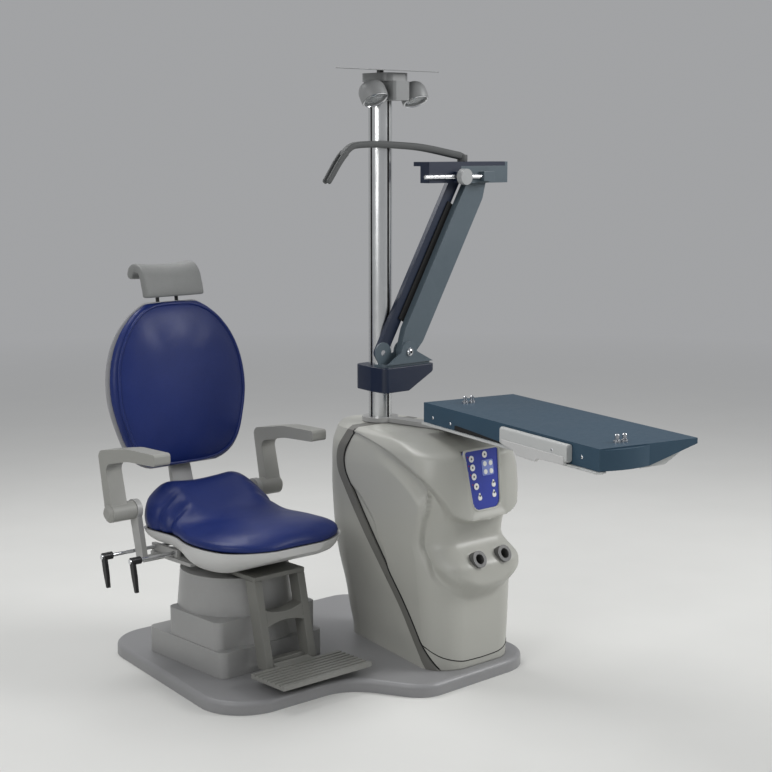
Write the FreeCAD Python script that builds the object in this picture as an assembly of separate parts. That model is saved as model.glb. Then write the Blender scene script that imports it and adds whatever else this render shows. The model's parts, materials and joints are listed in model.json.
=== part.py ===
import FreeCAD, Part
import math
import os

V = FreeCAD.Vector

# Shared clearances and the overrun of every cut
overrun = 5.0
running_clearance = 0.05
free_gap = 0.4
seat_gap = 0.3
knuckle_gap = 1.6
straight_share = 0.001

# Base plate, seen from above
base_thickness = 40.0
base_edge_radius = 14.0
base_left = -725.0
base_front_left = -850.0
base_rear = 565.0
base_front = -290.0
base_waist_x = -395.0
base_console_left = -275.0
base_console_front = -520.0
base_console_right = 235.0
base_console_front_right = -506.0
base_console_rear = 430.0
base_step_start = -330.0
base_step_end = -190.0
base_corner_radius = 150.0
base_small_radius = 95.0

# Chair axis and lift
chair_x = -500.0
chair_y = 140.0
pedestal_half_width = 200.0
pedestal_front = -60.0
pedestal_rear = 344.0
pedestal_low_top = 122.0
pedestal_mid_front = -32.0
pedestal_mid_rear = 240.0
pedestal_mid_top = 210.0
pedestal_mid_inset = 5.0
pedestal_corner_radius = 26.0
sleeve_low_radius = 200.0
sleeve_top_radius = 174.0
sleeve_top = 330.0
sleeve_roof = 9.0
pedestal_bore_radius = 160.0
lift_tube_radius = 66.0
lift_tube_foot = 12.0
ram_radius = 46.0
ram_rise = 30.0
carrier_radius = 110.0
carrier_bottom = 336.0
carrier_thickness = 14.0

# Footrest
footrest_half_width = 112.0
footrest_stile_width = 42.0
footrest_depth = 48.0
footrest_low_y = -152.0
footrest_top_y = -92.0
footrest_low = 66.0
footrest_bar_height = 24.0
footrest_arch_height = 205.0
footrest_arch_band = 36.0
foot_plate_half_width = 172.0
foot_plate_depth = 175.0
foot_plate_thickness = 14.0
foot_plate_setback = 16.0
foot_plate_rib_depth = 4.0
foot_plate_rib_count = 7
foot_plate_rib_share = 0.5
foot_plate_knuckle_radius = 9.0
foot_pin_radius = 4.5

# Seat
seat_length = 560.0
seat_front = -195.0
seat_half_width = 247.0
seat_seam = 450.0
seat_rise = 150.0
seat_drop = 88.0
shell_wall = 6.0
# distance from the front, half width, crown height and edge height, as shares of length, half width and rise
seat_section_shares = [
    (0.00, 0.36, 0.09, 0.05),
    (0.03, 0.58, 0.21, 0.12),
    (0.09, 0.79, 0.31, 0.17),
    (0.20, 0.95, 0.36, 0.20),
    (0.36, 1.00, 0.34, 0.20),
    (0.50, 0.965, 0.32, 0.21),
    (0.61, 0.885, 0.40, 0.25),
    (0.74, 0.87, 0.66, 0.40),
    (0.88, 0.90, 0.93, 0.56),
    (0.96, 0.84, 0.93, 0.58),
    (1.00, 0.68, 0.70, 0.44),
]
seat_foot_share = 0.965
seat_brow_share = 0.93
seat_belly_share = 0.5
# distance from the front, half width and depth of the shell, as shares of length, half width and drop
shell_section_shares = [
    (0.0, 0.38, 0.26),
    (0.1, 0.83, 0.54),
    (0.2, 0.965, 0.80),
    (0.3, 1.00, 0.97),
    (0.4, 1.005, 1.03),
    (0.5, 0.97, 1.03),
    (0.6, 0.90, 0.88),
    (0.7, 0.875, 0.66),
    (0.8, 0.885, 0.58),
    (0.9, 0.89, 0.56),
    (1.0, 0.69, 0.44),
]
shell_keel_share = 0.66
shell_bulge_share = 0.93
shell_bulge_height_share = 0.52

# Seat frame with the arm brackets
frame_plate_half_width = 172.0
frame_plate_rear = 362.0
frame_plate_thickness = 11.0
frame_disc_radius = 105.0
lug_thickness = 14.0
lug_inner_x = -60.0
lug_outer_x = -164.0
lug_front = 224.0
lug_rear = 366.0
lug_top = 387.0
cross_bar_front = 286.0
cross_bar_rear = 326.0
bracket_inner = 230.0
bracket_thickness = 18.0
bracket_half_depth = 22.0
pivot_y = 344.0
pivot_z = 512.0
flange_radius = 33.0
arm_pin_radius = 10.0
arm_cap_radius = 27.0
arm_cap_depth = 9.0

# Armrests
armrest_inner = 277.0
armrest_width = 58.0
barrel_radius = 30.0
# corners of the arm seen from the side, forward is negative
arm_post_rear = 22.0
arm_heel_y = 58.0
arm_heel_z = 194.0
arm_brow_y = -110.0
arm_brow_z = 222.0
arm_tip_y = -262.0
arm_tip_z = 224.0
arm_tip_height = 36.0
arm_belly_z = 182.0
arm_throat_y = 16.0
arm_throat_z = 154.0
arm_corner_radius = 24.0
arm_sweep_radius = 220.0
arm_tip_radius = 10.0

# Levers under the seat
lever_height = 377.0
lever_rod_radius = 6.0
recline_lever_y = 345.0
swivel_lever_y = 236.0
recline_lever_reach = 362.0
swivel_lever_reach = 328.0
lever_root = 45.0
lever_hub_radius = 12.0
lever_hub_length = 34.0
lever_grip_length = 96.0
lever_grip_top = 19.0
lever_grip_end = 9.0
lever_grip_sweep = 20.0
lever_button_radius = 8.0
lever_button_depth = 5.0

# Backrest
recline_setback = 23.0
recline_y = seat_front + seat_length + recline_setback
recline_z = 404.0
recline_pin_radius = 8.0
recline_knuckle_radius = 18.0
back_lean = 7.0
back_setback = 28.0
back_low_z = 616.0
back_low_y = recline_y + back_setback
back_height = 538.0
back_half_width = 264.0
back_thickness = 58.0
back_shell_thickness = 22.0
# height, half width, thickness and edge thickness, as shares of height, half width and thickness
back_section_shares = [
    (0.00, 0.48, 0.36, 0.26),
    (0.03, 0.64, 0.60, 0.42),
    (0.10, 0.79, 0.82, 0.56),
    (0.25, 0.92, 0.96, 0.62),
    (0.43, 1.00, 1.00, 0.64),
    (0.60, 0.985, 0.98, 0.63),
    (0.76, 0.88, 0.94, 0.60),
    (0.88, 0.71, 0.82, 0.54),
    (0.96, 0.52, 0.60, 0.42),
    (1.00, 0.36, 0.36, 0.26),
]
back_shell_share = 1.02
back_shell_keel_share = 0.88
back_brow_share = 0.955
bracket_plate_half_width = 92.0
bracket_plate_thickness = 12.0
bracket_plate_top = 760.0
bracket_knuckle_half = 40.0

# Headrest
head_rod_spacing = 74.0
head_rod_radius = 6.0
head_rod_length = 150.0
head_socket_radius = 13.0
head_half_width = 114.0
head_leg = 68.0
head_standoff = 48.0
head_thickness = 30.0
head_bend_radius = 50.0
head_bend_end = 20.0
head_lift = 14.0
head_bar_radius = 8.0

# Console, in levels from the base plate up
console_height = 757.0
console_half_width = 195.0
console_reach = 500.0
console_rear = 160.0
console_wall = 6.0
# height above the base, rear half width, rear depth, half width, front and corner radius, as shares
console_level_shares = [
    (0.0, 0.46, 0.56, 0.86, 0.955, 0.50),
    (0.0925, 0.50, 0.61, 0.875, 0.955, 0.50),
    (0.185, 0.56, 0.68, 0.89, 0.960, 0.50),
    (0.278, 0.63, 0.75, 0.91, 0.980, 0.51),
    (0.37, 0.71, 0.84, 0.94, 1.025, 0.53),
    (0.463, 0.77, 0.91, 0.958, 1.055, 0.55),
    (0.555, 0.805, 0.95, 0.956, 0.945, 0.52),
    (0.648, 0.82, 0.98, 0.965, 0.955, 0.50),
    (0.74, 0.82, 1.00, 0.975, 0.975, 0.50),
    (0.838, 0.815, 1.00, 0.975, 0.970, 0.50),
    (0.936, 0.77, 0.95, 0.93, 0.92, 0.50),
    (0.983, 0.70, 0.88, 0.80, 0.72, 0.46),
    (1.00, 0.62, 0.80, 0.66, 0.50, 0.40),
]
loft_degree = 3
trim_top_y = -46.0
trim_bend_y = 16.0
trim_bend_share = 0.845
trim_bend_z = console_height * trim_bend_share
trim_foot_setback = 30.0
trim_foot_y = trim_foot_setback - console_reach
trim_width = 40.0
trim_bend_radius = 90.0
trim_proud = 2.5
panel_gap = 2.0
console_roof_hole = 43.0

# Keypad on the console
keypad_setback = 12.0
keypad_y = keypad_setback - console_reach
keypad_drop = 121.0
keypad_z = console_height - keypad_drop
keypad_lean = 9.0
keypad_top_half = 77.0
keypad_low_half = 61.0
keypad_half_height = 94.0
keypad_top_radius = 12.0
keypad_low_radius = 30.0
keypad_rim = 5.0
keypad_rim_depth = 26.0
keypad_recess = 9.0
keypad_thickness = 8.0
key_radius = 8.0
key_height = 5.0
key_proud = 2.2
key_hole_gap = 0.35
drop_key_length = 13.0
drop_tip_share = 0.8
four_key_half = 24.0
four_key_radius = 5.0
four_dot_radius = 6.0
four_dot_offset = 13.0
four_dot_height = 1.2
# across and up from the middle of the panel, as shares of its top half width and half height
round_key_shares = {
    "key_top": (0.16, 0.80),
    "key_left_1": (-0.60, 0.72),
    "key_left_2": (-0.58, 0.43),
    "key_left_3": (-0.55, 0.13),
    "key_left_4": (-0.47, -0.20),
}
drop_key_shares = {
    "key_drop_left": (-0.32, -0.52),
    "key_drop_right_1": (0.52, -0.16),
    "key_drop_right_2": (0.50, -0.50),
}
four_key_shares = {"key_four_way": (0.28, 0.36)}

# Instrument wells on the console ledge
well_spacing = 110.0
well_overhang = 13.0
well_y = -console_reach - well_overhang
well_height_share = 0.52
well_z = console_height * well_height_share
well_tilt = 64.0
well_bore_radius = 16.0
well_wall = 3.0
well_depth = 120.0
well_ring_radius = 27.0
well_ring_height = 9.0
well_ring_sink = 14.0

# Inside the console
post_half = 15.0
post_x = 70.0
post_y = -120.0
post_drop = 147.0
post_top = console_height - post_drop
clamp_thickness = 12.0
clamp_front = -140.0
clamp_rear = 62.0
supply_half_width = 85.0
supply_front = -360.0
supply_rear = -190.0
supply_height = 190.0

# Column
column_radius = 38.5
column_rise = 1039.0
column_top = console_height + column_rise
slot_width = 8.0
slot_depth = 9.0
slot_count = 4

# Overhead lamps and projector plate
bracket_y = -60.0
bracket_half_width = 34.0
bracket_rear = 46.0
bracket_reach = 46.0
bracket_body_height = 60.0
bracket_neck_height = 26.0
bracket_neck_half = 52.0
bracket_neck_reach = 30.0
bracket_edge_radius = 9.0
bracket_neck_radius = 30.0
bracket_socket = 16.0
lamp_x = 88.0
lamp_rise = 26.0
lamp_z = column_top + lamp_rise
lamp_radius = 43.0
lamp_height = 64.0
lamp_crown_radius = 29.0
lamp_crown_height = 17.0
lamp_wall = 5.0
lamp_cup_depth = 24.0
lamp_left_tilt = 18.0
lamp_right_tilt = 6.0
lamp_stub_radius = 9.0
lens_thickness = 4.0
lens_inset = 3.0
plate_length = 300.0
plate_depth = 170.0
plate_thickness = 3.0
plate_centre_y = -35.0
plate_tilt = 3.7
plate_post_radius = 11.0
plate_lift = 11.0
plate_height = column_top + bracket_body_height + bracket_neck_height + plate_lift

# Instrument arm
collar_rise = 108.0
collar_height = 81.0
collar_low = console_height + collar_rise
collar_top = collar_low + collar_height
collar_left = -76.0
collar_right = 146.0
collar_front = -108.0
collar_sleeve_radius = 60.0
collar_taper_x = 30.0
collar_taper_rise = 60.0
collar_taper_z = collar_low + collar_taper_rise
collar_corner_radius = 18.0
clevis_step = 9.0
clevis_step_inset = 8.0
link_y = -84.0
link_thickness = 26.0
link_width = 92.0
link_end_radius = 30.0
rear_link_y = -56.0
rear_link_thickness = 18.0
rear_link_width = 44.0
arm_pivot_x = 32.0
arm_pivot_rise = 46.0
arm_pivot_z = collar_top + arm_pivot_rise
link_run = 332.0
link_rise = 562.0
rear_offset = -82.0
cheek_thickness = 9.0
cheek_left = -60.0
cheek_right = 58.0
cheek_radius = 34.0
link_pin_radius = 9.0
link_pin_head_radius = 13.0
link_pin_head = 4.0

# Arm head, measured from its pivot
head_left = -256.0
head_right = 108.0
head_top = 48.0
head_roof = 14.0
head_low = -20.0
head_front_y = -116.0
head_rear_y = -42.0
ear_thickness = 13.0
ear_low = -22.0
ear_radius = 26.0
spigot_radius = 7.0
spigot_y = -126.0
spigot_left = -284.0
spigot_right = 6.0
spigot_groove_depth = 1.5
spigot_groove_width = 6.0
spigot_groove_shares = [0.10, 0.19, 0.28]
lug_half_width = 16.0
lug_reach = 12.0
knob_x = -128.0
knob_radius = 26.0
knob_length = 22.0
knob_stem_radius = 6.0
hanger_x = -70.0
hanger_width = 26.0
hanger_thickness = 11.0
hanger_boss_radius = 17.0
hanger_boss_height = 10.0
hanger_boss_gap = 0.3
hanger_pin_radius = 5.0
hanger_knee_x = -300.0
hanger_knee_rise = 36.0
hanger_elbow_x = -560.0
hanger_elbow_rise = 38.0
hanger_end_x = -652.0
hanger_end_drop = 76.0
hanger_bend_radius = 40.0
hanger_knee_radius = 160.0
hanger_slot_share = 0.4
hanger_slot_start_share = 0.2

# Instrument table, in its own frame with the long side along Y
table_turn = -12.1
table_left = 3.0
table_width = 340.0
table_near = -271.0
table_length = 900.0
table_rise = 98.0
table_top_z = console_height + table_rise
table_apron = 62.0
table_block_width = 172.0
table_edge = 16.0
table_skin = 12.0
table_corner_radius = 14.0
tray_inset = 10.0
tray_lip = 8.0
tray_rail_inset = 22.0
tray_rail_right_inset = 24.0
rail_near_gap = 168.0
rail_far_gap = 240.0
tray_thickness = 7.0
table_arm_overlap = 126.0
tray_far_gap = 60.0
tray_wing_reach = 128.0
tray_wing_thickness = 5.0
tray_wing_gap = 3.0
tray_rail_width = 24.0
tray_gap = 0.4
hub_radius = 60.0
hub_gap = 2.0
hub_low = console_height + hub_gap
hub_height = 14.0
table_arm_width = 46.0
table_arm_x = 100.0
stud_radius = 5.5
stud_height = 20.0
stud_collar_radius = 8.0
stud_collar_height = 5.0
stud_spacing = 26.0
stud_x = 116.0
stud_near = -356.0
stud_far = -1118.0
handle_near = -726.0
handle_length = 326.0
handle_height = 50.0
handle_thickness = 20.0
handle_radius = 8.0
handle_top_gap = 6.0
handle_pin_radius = 3.0
handle_pin_length = 9.0


# Building blocks
def box(x0, x1, y0, y1, z0, z1):
    return Part.makeBox(x1 - x0, y1 - y0, z1 - z0, V(x0, y0, z0))


def rod(start, axis, radius, length):
    return Part.makeCylinder(radius, length, start, axis)


def on_xy(z):
    return lambda a, b: V(a, b, z)


def on_yz(x):
    return lambda a, b: V(x, a, b)


def on_xz(y):
    return lambda a, b: V(a, y, b)


def rounded_outline(corners, place):
    """A closed wire through corners (a, b, radius), each corner an arc that touches both sides."""
    ends = []
    count = len(corners)
    for index in range(count):
        a, b, radius = corners[index]
        here = V(a, b, 0)
        before = V(corners[index - 1][0], corners[index - 1][1], 0) - here
        after = V(corners[(index + 1) % count][0], corners[(index + 1) % count][1], 0) - here
        before.normalize()
        after.normalize()
        if radius <= 0 or (before + after).Length < straight_share:
            ends.append((here, None, here))
            continue
        half = before.getAngle(after) / 2
        middle = before + after
        middle.normalize()
        reach = radius / math.tan(half)
        crown = here + middle * (radius / math.sin(half) - radius)
        ends.append((here + before * reach, crown, here + after * reach))
    edges = []
    for index in range(count):
        first, crown, last = ends[index]
        if crown is not None:
            edges.append(arc(place(first.x, first.y), place(crown.x, crown.y), place(last.x, last.y)))
        following = ends[(index + 1) % count][0]
        if (following - last).Length > running_clearance:
            edges.append(line(place(last.x, last.y), place(following.x, following.y)))
    return Part.Wire(edges)


def slab(corners, place, direction):
    return Part.Face(rounded_outline(corners, place)).extrude(direction)


def plain(points):
    return [(a, b, 0) for a, b in points]


def rectangle(a0, a1, b0, b1, radius):
    return [(a0, b0, radius), (a1, b0, radius), (a1, b1, radius), (a0, b1, radius)]


def line(start, end):
    return Part.LineSegment(start, end).toShape()


def arc(start, middle, end):
    return Part.Arc(start, middle, end).toShape()


def turned(shape, centre, axis, degrees):
    copy = shape.copy()
    copy.rotate(centre, axis, degrees)
    return copy


def group(shapes):
    return Part.makeCompound(shapes)


def join(shapes):
    first = shapes[0]
    return first.fuse(shapes[1:]).removeSplitter()


AXIS_X = V(1, 0, 0)
AXIS_Y = V(0, 1, 0)
AXIS_Z = V(0, 0, 1)
ORIGIN = V(0, 0, 0)


# Base plate and chair pedestal
def base_outline():
    return [
        (base_left, base_rear, base_corner_radius),
        (base_front_left, base_front, base_corner_radius),
        (base_waist_x, base_front, base_corner_radius),
        (base_console_left, base_console_front, base_small_radius),
        (base_console_right, base_console_front_right, base_corner_radius),
        (base_console_right, base_console_rear, base_small_radius),
        (base_step_end, base_console_rear, base_small_radius),
        (base_step_start, base_rear, base_small_radius),
    ]


def base_plate():
    plate = slab(base_outline(), on_xy(0), V(0, 0, base_thickness))
    top_edges = [edge for edge in plate.Edges if edge.BoundBox.ZMin > base_thickness / 2]
    return plate.makeFillet(base_edge_radius, top_edges)


def pedestal_cover():
    left = chair_x - pedestal_half_width
    right = chair_x + pedestal_half_width
    low = slab(rectangle(left, right, pedestal_front, pedestal_rear, pedestal_corner_radius),
               on_xy(base_thickness), V(0, 0, pedestal_low_top - base_thickness))
    middle = slab(rectangle(left + pedestal_mid_inset, right - pedestal_mid_inset, pedestal_mid_front,
                            pedestal_mid_rear, pedestal_corner_radius),
                  on_xy(base_thickness), V(0, 0, pedestal_mid_top - base_thickness))
    sleeve = Part.makeCone(sleeve_low_radius, sleeve_top_radius, sleeve_top - base_thickness,
                           V(chair_x, chair_y, base_thickness))
    cover = join([low, middle, sleeve])
    bore = rod(V(chair_x, chair_y, base_thickness - overrun), AXIS_Z, pedestal_bore_radius,
               sleeve_top - sleeve_roof - base_thickness + overrun)
    mouth = rod(V(chair_x, chair_y, base_thickness), AXIS_Z, lift_tube_radius + free_gap, sleeve_top)
    return cover.cut(bore).cut(mouth)


def lift_cylinder():
    foot = rod(V(chair_x, chair_y, base_thickness), AXIS_Z, lift_tube_radius + lift_tube_foot, lift_tube_foot)
    tube = rod(V(chair_x, chair_y, base_thickness), AXIS_Z, lift_tube_radius, sleeve_top - base_thickness)
    bore = rod(V(chair_x, chair_y, base_thickness + lift_tube_foot), AXIS_Z,
               ram_radius + running_clearance, sleeve_top)
    return join([foot, tube]).cut(bore)


def lift_ram():
    bottom = base_thickness + ram_rise
    return rod(V(chair_x, chair_y, bottom), AXIS_Z, ram_radius, carrier_bottom - bottom)


def seat_carrier():
    disc = rod(V(chair_x, chair_y, carrier_bottom), AXIS_Z, carrier_radius, carrier_thickness)
    bar = box(chair_x - footrest_half_width, chair_x + footrest_half_width,
              footrest_top_y, chair_y, carrier_bottom, carrier_bottom + carrier_thickness)
    return join([disc, bar])


# Footrest
def footrest_lean(z):
    share = (z - footrest_low) / (carrier_bottom - footrest_low)
    return footrest_low_y + (footrest_top_y - footrest_low_y) * share


def footrest_frame():
    low_y = footrest_lean(footrest_low)
    top_y = footrest_lean(carrier_bottom)
    side = plain([(low_y, footrest_low), (low_y + footrest_depth, footrest_low),
                  (top_y + footrest_depth, carrier_bottom), (top_y, carrier_bottom)])
    panel = slab(side, on_yz(chair_x - footrest_half_width), V(2 * footrest_half_width, 0, 0))
    inner = footrest_half_width - footrest_stile_width
    arch_low = footrest_arch_height - footrest_arch_band
    reach = V(0, top_y - low_y + footrest_depth + 2 * overrun, 0)
    start = on_xz(low_y - overrun)
    left = chair_x - inner
    right = chair_x + inner
    sag = footrest_arch_band / 2
    upper = Part.Face(Part.Wire([
        arc(start(left, footrest_arch_height), start(chair_x, footrest_arch_height - sag),
            start(right, footrest_arch_height)),
        line(start(right, footrest_arch_height), start(right, carrier_bottom + overrun)),
        line(start(right, carrier_bottom + overrun), start(left, carrier_bottom + overrun)),
        line(start(left, carrier_bottom + overrun), start(left, footrest_arch_height)),
    ])).extrude(reach)
    foot = footrest_low + footrest_bar_height
    lower = Part.Face(Part.Wire([
        line(start(left, foot), start(right, foot)),
        line(start(right, foot), start(right, arch_low - sag)),
        arc(start(right, arch_low - sag), start(chair_x, arch_low), start(left, arch_low - sag)),
        line(start(left, arch_low - sag), start(left, foot)),
    ])).extrude(reach)
    pin_centre = V(chair_x - inner, foot_hinge_y(), foot_hinge_z())
    slot = box(left, right, low_y - overrun, foot_hinge_y() + foot_plate_knuckle_radius + knuckle_gap,
               footrest_low - overrun, foot + overrun)
    pin = rod(pin_centre, AXIS_X, foot_pin_radius, 2 * inner)
    return join([panel.cut(upper).cut(lower).cut(slot), pin])


def foot_hinge_y():
    return footrest_low_y + foot_plate_knuckle_radius + free_gap


def foot_hinge_z():
    return footrest_low + foot_plate_knuckle_radius + free_gap


def foot_plate():
    front = foot_hinge_y() - foot_plate_knuckle_radius - foot_plate_depth
    rear = footrest_low_y - foot_plate_setback
    low = foot_hinge_z() - foot_plate_thickness / 2
    top = low + foot_plate_thickness
    plate = box(chair_x - foot_plate_half_width, chair_x + foot_plate_half_width, front, rear, low, top)
    pitch = (rear - front) / (foot_plate_rib_count + 1)
    groove = pitch * foot_plate_rib_share
    cuts = []
    for index in range(foot_plate_rib_count):
        middle = front + pitch * (index + 1)
        cuts.append(box(chair_x - foot_plate_half_width - overrun, chair_x + foot_plate_half_width + overrun,
                        middle - groove / 2, middle + groove / 2, top - foot_plate_rib_depth, top + overrun))
    half = footrest_half_width - footrest_stile_width - knuckle_gap
    knuckle = rod(V(chair_x - half, foot_hinge_y(), foot_hinge_z()), AXIS_X, foot_plate_knuckle_radius,
                  2 * half)
    tongue = box(chair_x - half, chair_x + half, rear - foot_plate_rib_depth, foot_hinge_y(), low, top)
    bore = rod(V(chair_x - foot_plate_half_width, foot_hinge_y(), foot_hinge_z()), AXIS_X,
               foot_pin_radius + running_clearance, 2 * foot_plate_half_width)
    return join([plate.cut(cuts), knuckle, tongue]).cut(bore)


# Seat
def seat_section(y, half, crown, brow):
    foot = half * seat_foot_share
    top = half * seat_brow_share
    a = V(chair_x - foot, y, seat_seam)
    b = V(chair_x + foot, y, seat_seam)
    c = V(chair_x + top, y, seat_seam + brow)
    d = V(chair_x - top, y, seat_seam + brow)
    belly = seat_seam + brow * seat_belly_share
    return Part.Wire([
        line(a, b),
        arc(b, V(chair_x + half, y, belly), c),
        arc(c, V(chair_x, y, seat_seam + crown), d),
        arc(d, V(chair_x - half, y, belly), a),
    ])


def seat_cushion():
    wires = []
    for along, half, crown, brow in seat_section_shares:
        wires.append(seat_section(seat_front + seat_length * along, seat_half_width * half,
                                  seat_rise * crown, seat_rise * brow))
    return Part.makeLoft(wires, True, False)


def shell_section(y, half, drop, wall):
    top = seat_seam - seat_gap + wall
    keel = half * shell_keel_share - wall
    side = half - wall
    low = seat_seam - drop + wall
    a = V(chair_x - side, y, top)
    b = V(chair_x + side, y, top)
    c = V(chair_x + keel, y, low)
    d = V(chair_x - keel, y, low)
    bulge = top - (top - low) * shell_bulge_height_share
    swell = side * shell_bulge_share
    return Part.Wire([
        line(a, b),
        arc(b, V(chair_x + swell, y, bulge), c),
        line(c, d),
        arc(d, V(chair_x - swell, y, bulge), a),
    ])


def shell_loft(wall):
    wires = []
    inner_length = seat_length - 2 * wall
    for along, half, drop in shell_section_shares:
        wires.append(shell_section(seat_front + wall + inner_length * along, seat_half_width * half,
                                   seat_drop * drop, wall))
    return Part.makeLoft(wires, True, False, False, loft_degree)


def frame_top():
    return carrier_bottom + carrier_thickness + seat_gap + frame_plate_thickness


def seat_shell():
    outer = shell_loft(0)
    inner = shell_loft(shell_wall)
    floor = frame_top() + shell_wall
    reach = seat_length * 2
    inner = inner.common(box(chair_x - reach, chair_x + reach, -reach, reach, floor, seat_seam + reach))
    below = box(chair_x - reach, chair_x + reach, -reach, reach, 0, frame_top())
    return outer.cut(inner).cut(below)


def lever_places():
    return [(recline_lever_y, recline_lever_reach), (swivel_lever_y, swivel_lever_reach)]


def seat_frame():
    low = carrier_bottom + carrier_thickness + seat_gap
    disc = rod(V(chair_x, chair_y, low), AXIS_Z, frame_disc_radius, frame_plate_thickness)
    plate = box(chair_x - frame_plate_half_width, chair_x + frame_plate_half_width, chair_y, frame_plate_rear,
                low, frame_top())
    outer = bracket_inner + bracket_thickness
    bar = box(chair_x - outer, chair_x + outer, cross_bar_front, cross_bar_rear, low, frame_top())
    pieces = [disc, plate, bar]
    for lug_x in (lug_inner_x, lug_outer_x):
        left = chair_x + lug_x
        pieces.append(box(left, left + lug_thickness, lug_front, lug_rear, low, lug_top))
    for side in (-1, 1):
        inner_x = chair_x + side * bracket_inner
        start = min(inner_x, inner_x + side * bracket_thickness)
        upright = plain([(cross_bar_front, low), (cross_bar_rear, low),
                         (pivot_y + bracket_half_depth, pivot_z), (pivot_y - bracket_half_depth, pivot_z)])
        pieces.append(slab(upright, on_yz(start), V(bracket_thickness, 0, 0)))
        pieces.append(rod(V(start, pivot_y, pivot_z), AXIS_X, flange_radius, bracket_thickness))
    frame = join(pieces + recline_ears())
    for y, reach in lever_places():
        frame = frame.cut(rod(V(chair_x + lug_outer_x - overrun, y, lever_height), AXIS_X,
                              lever_rod_radius + running_clearance, lug_inner_x - lug_outer_x + lug_thickness
                              + 2 * overrun))
    for side in (-1, 1):
        frame = frame.cut(rod(V(chair_x + side * (bracket_inner - overrun), pivot_y, pivot_z),
                              AXIS_X * side, arm_pin_radius, bracket_thickness + 2 * overrun))
    reach = bracket_plate_half_width + lug_thickness * 2
    return frame.cut(rod(V(chair_x - reach, recline_y, recline_z), AXIS_X, recline_pin_radius, 2 * reach))


def recline_ears():
    ears = []
    low = carrier_bottom + carrier_thickness + seat_gap
    inner = bracket_knuckle_half + knuckle_gap
    for side in (-1, 1):
        start = chair_x + side * inner
        x0 = min(start, start + side * lug_thickness)
        foot = plain([(cross_bar_rear, low), (frame_plate_rear, low), (recline_y, recline_z),
                      (recline_y - recline_knuckle_radius, recline_z)])
        ears.append(slab(foot, on_yz(x0), V(lug_thickness, 0, 0)))
        ears.append(rod(V(x0, recline_y, recline_z), AXIS_X, recline_knuckle_radius, lug_thickness))
    return ears


def chair_pins():
    reach = bracket_knuckle_half + knuckle_gap + lug_thickness
    pins = [rod(V(chair_x - reach, recline_y, recline_z), AXIS_X, recline_pin_radius, 2 * reach)]
    end = armrest_inner + armrest_width + free_gap
    for side in (-1, 1):
        shaft = rod(V(chair_x + side * bracket_inner, pivot_y, pivot_z), AXIS_X * side, arm_pin_radius,
                    end - bracket_inner)
        cap = Part.makeCone(arm_cap_radius, arm_cap_radius - arm_cap_depth, arm_cap_depth,
                            V(chair_x + side * end, pivot_y, pivot_z), AXIS_X * side)
        pins.append(join([shaft, cap]))
    return group(pins)


def armrest(side):
    corners = [
        (arm_post_rear, 0, 0),
        (arm_heel_y, arm_heel_z, arm_corner_radius),
        (arm_brow_y, arm_brow_z, arm_sweep_radius),
        (arm_tip_y, arm_tip_z, arm_tip_radius),
        (arm_tip_y, arm_tip_z - arm_tip_height, arm_tip_radius),
        (arm_brow_y, arm_belly_z, arm_sweep_radius),
        (arm_throat_y, arm_throat_z, arm_corner_radius),
        (-arm_post_rear, 0, 0),
    ]
    corners = [(pivot_y + a, pivot_z + b, radius) for a, b, radius in corners]
    start = chair_x + side * armrest_inner
    x0 = min(start, start + side * armrest_width)
    arm = slab(corners, on_yz(x0), V(armrest_width, 0, 0))
    hub_inner = bracket_inner + bracket_thickness + free_gap
    barrel = rod(V(chair_x + side * hub_inner, pivot_y, pivot_z), AXIS_X * side, barrel_radius,
                 armrest_inner + armrest_width - hub_inner)
    bore = rod(V(chair_x + side * bracket_inner, pivot_y, pivot_z), AXIS_X * side,
               arm_pin_radius + running_clearance, armrest_inner + armrest_width - bracket_inner + overrun)
    return join([arm, barrel]).cut(bore)


# Levers
def lever_rod(y, reach):
    shaft = rod(V(chair_x - reach, y, lever_height), AXIS_X, lever_rod_radius, reach - lever_root)
    button = rod(V(chair_x - reach - lever_button_depth, y, lever_height), AXIS_X, lever_button_radius,
                 lever_button_depth)
    return join([shaft, button])


def lever_handle(y, reach):
    hub = rod(V(chair_x - reach, y, lever_height), AXIS_X, lever_hub_radius, lever_hub_length)
    half = lever_grip_top / 2
    end = lever_grip_end / 2
    low = lever_height - lever_grip_length
    grip = slab([
        (y - half, lever_height, 0),
        (y - half - lever_grip_sweep / 2, lever_height - lever_grip_length / 2, lever_grip_length),
        (y - lever_grip_sweep - end, low, 0),
        (y - lever_grip_sweep + end, low, 0),
        (y + half - lever_grip_sweep / 2, lever_height - lever_grip_length / 2, lever_grip_length),
        (y + half, lever_height, 0),
    ], on_yz(chair_x - reach), V(lever_hub_radius, 0, 0))
    bore = rod(V(chair_x - reach - overrun, y, lever_height), AXIS_X, lever_rod_radius,
               lever_hub_length + 2 * overrun)
    return join([hub, grip]).cut(bore)


# Backrest, built upright and then leaned back about its foot
def lean_back(shape):
    return turned(shape, V(chair_x, back_low_y, back_low_z), AXIS_X, -back_lean)


def back_section(z, half, front, brow):
    back = back_low_y - seat_gap
    top = half * back_brow_share
    a = V(chair_x - top, back, z)
    b = V(chair_x + top, back, z)
    c = V(chair_x + top, back - brow, z)
    d = V(chair_x - top, back - brow, z)
    return Part.Wire([
        line(a, b),
        arc(b, V(chair_x + half, back - brow / 2, z), c),
        arc(c, V(chair_x, back - front, z), d),
        arc(d, V(chair_x - half, back - brow / 2, z), a),
    ])


def backrest_cushion():
    wires = []
    for along, half, front, brow in back_section_shares:
        wires.append(back_section(back_low_z + back_height * along, back_half_width * half,
                                  back_thickness * front, back_thickness * brow))
    return lean_back(Part.makeLoft(wires, True, False))


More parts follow.
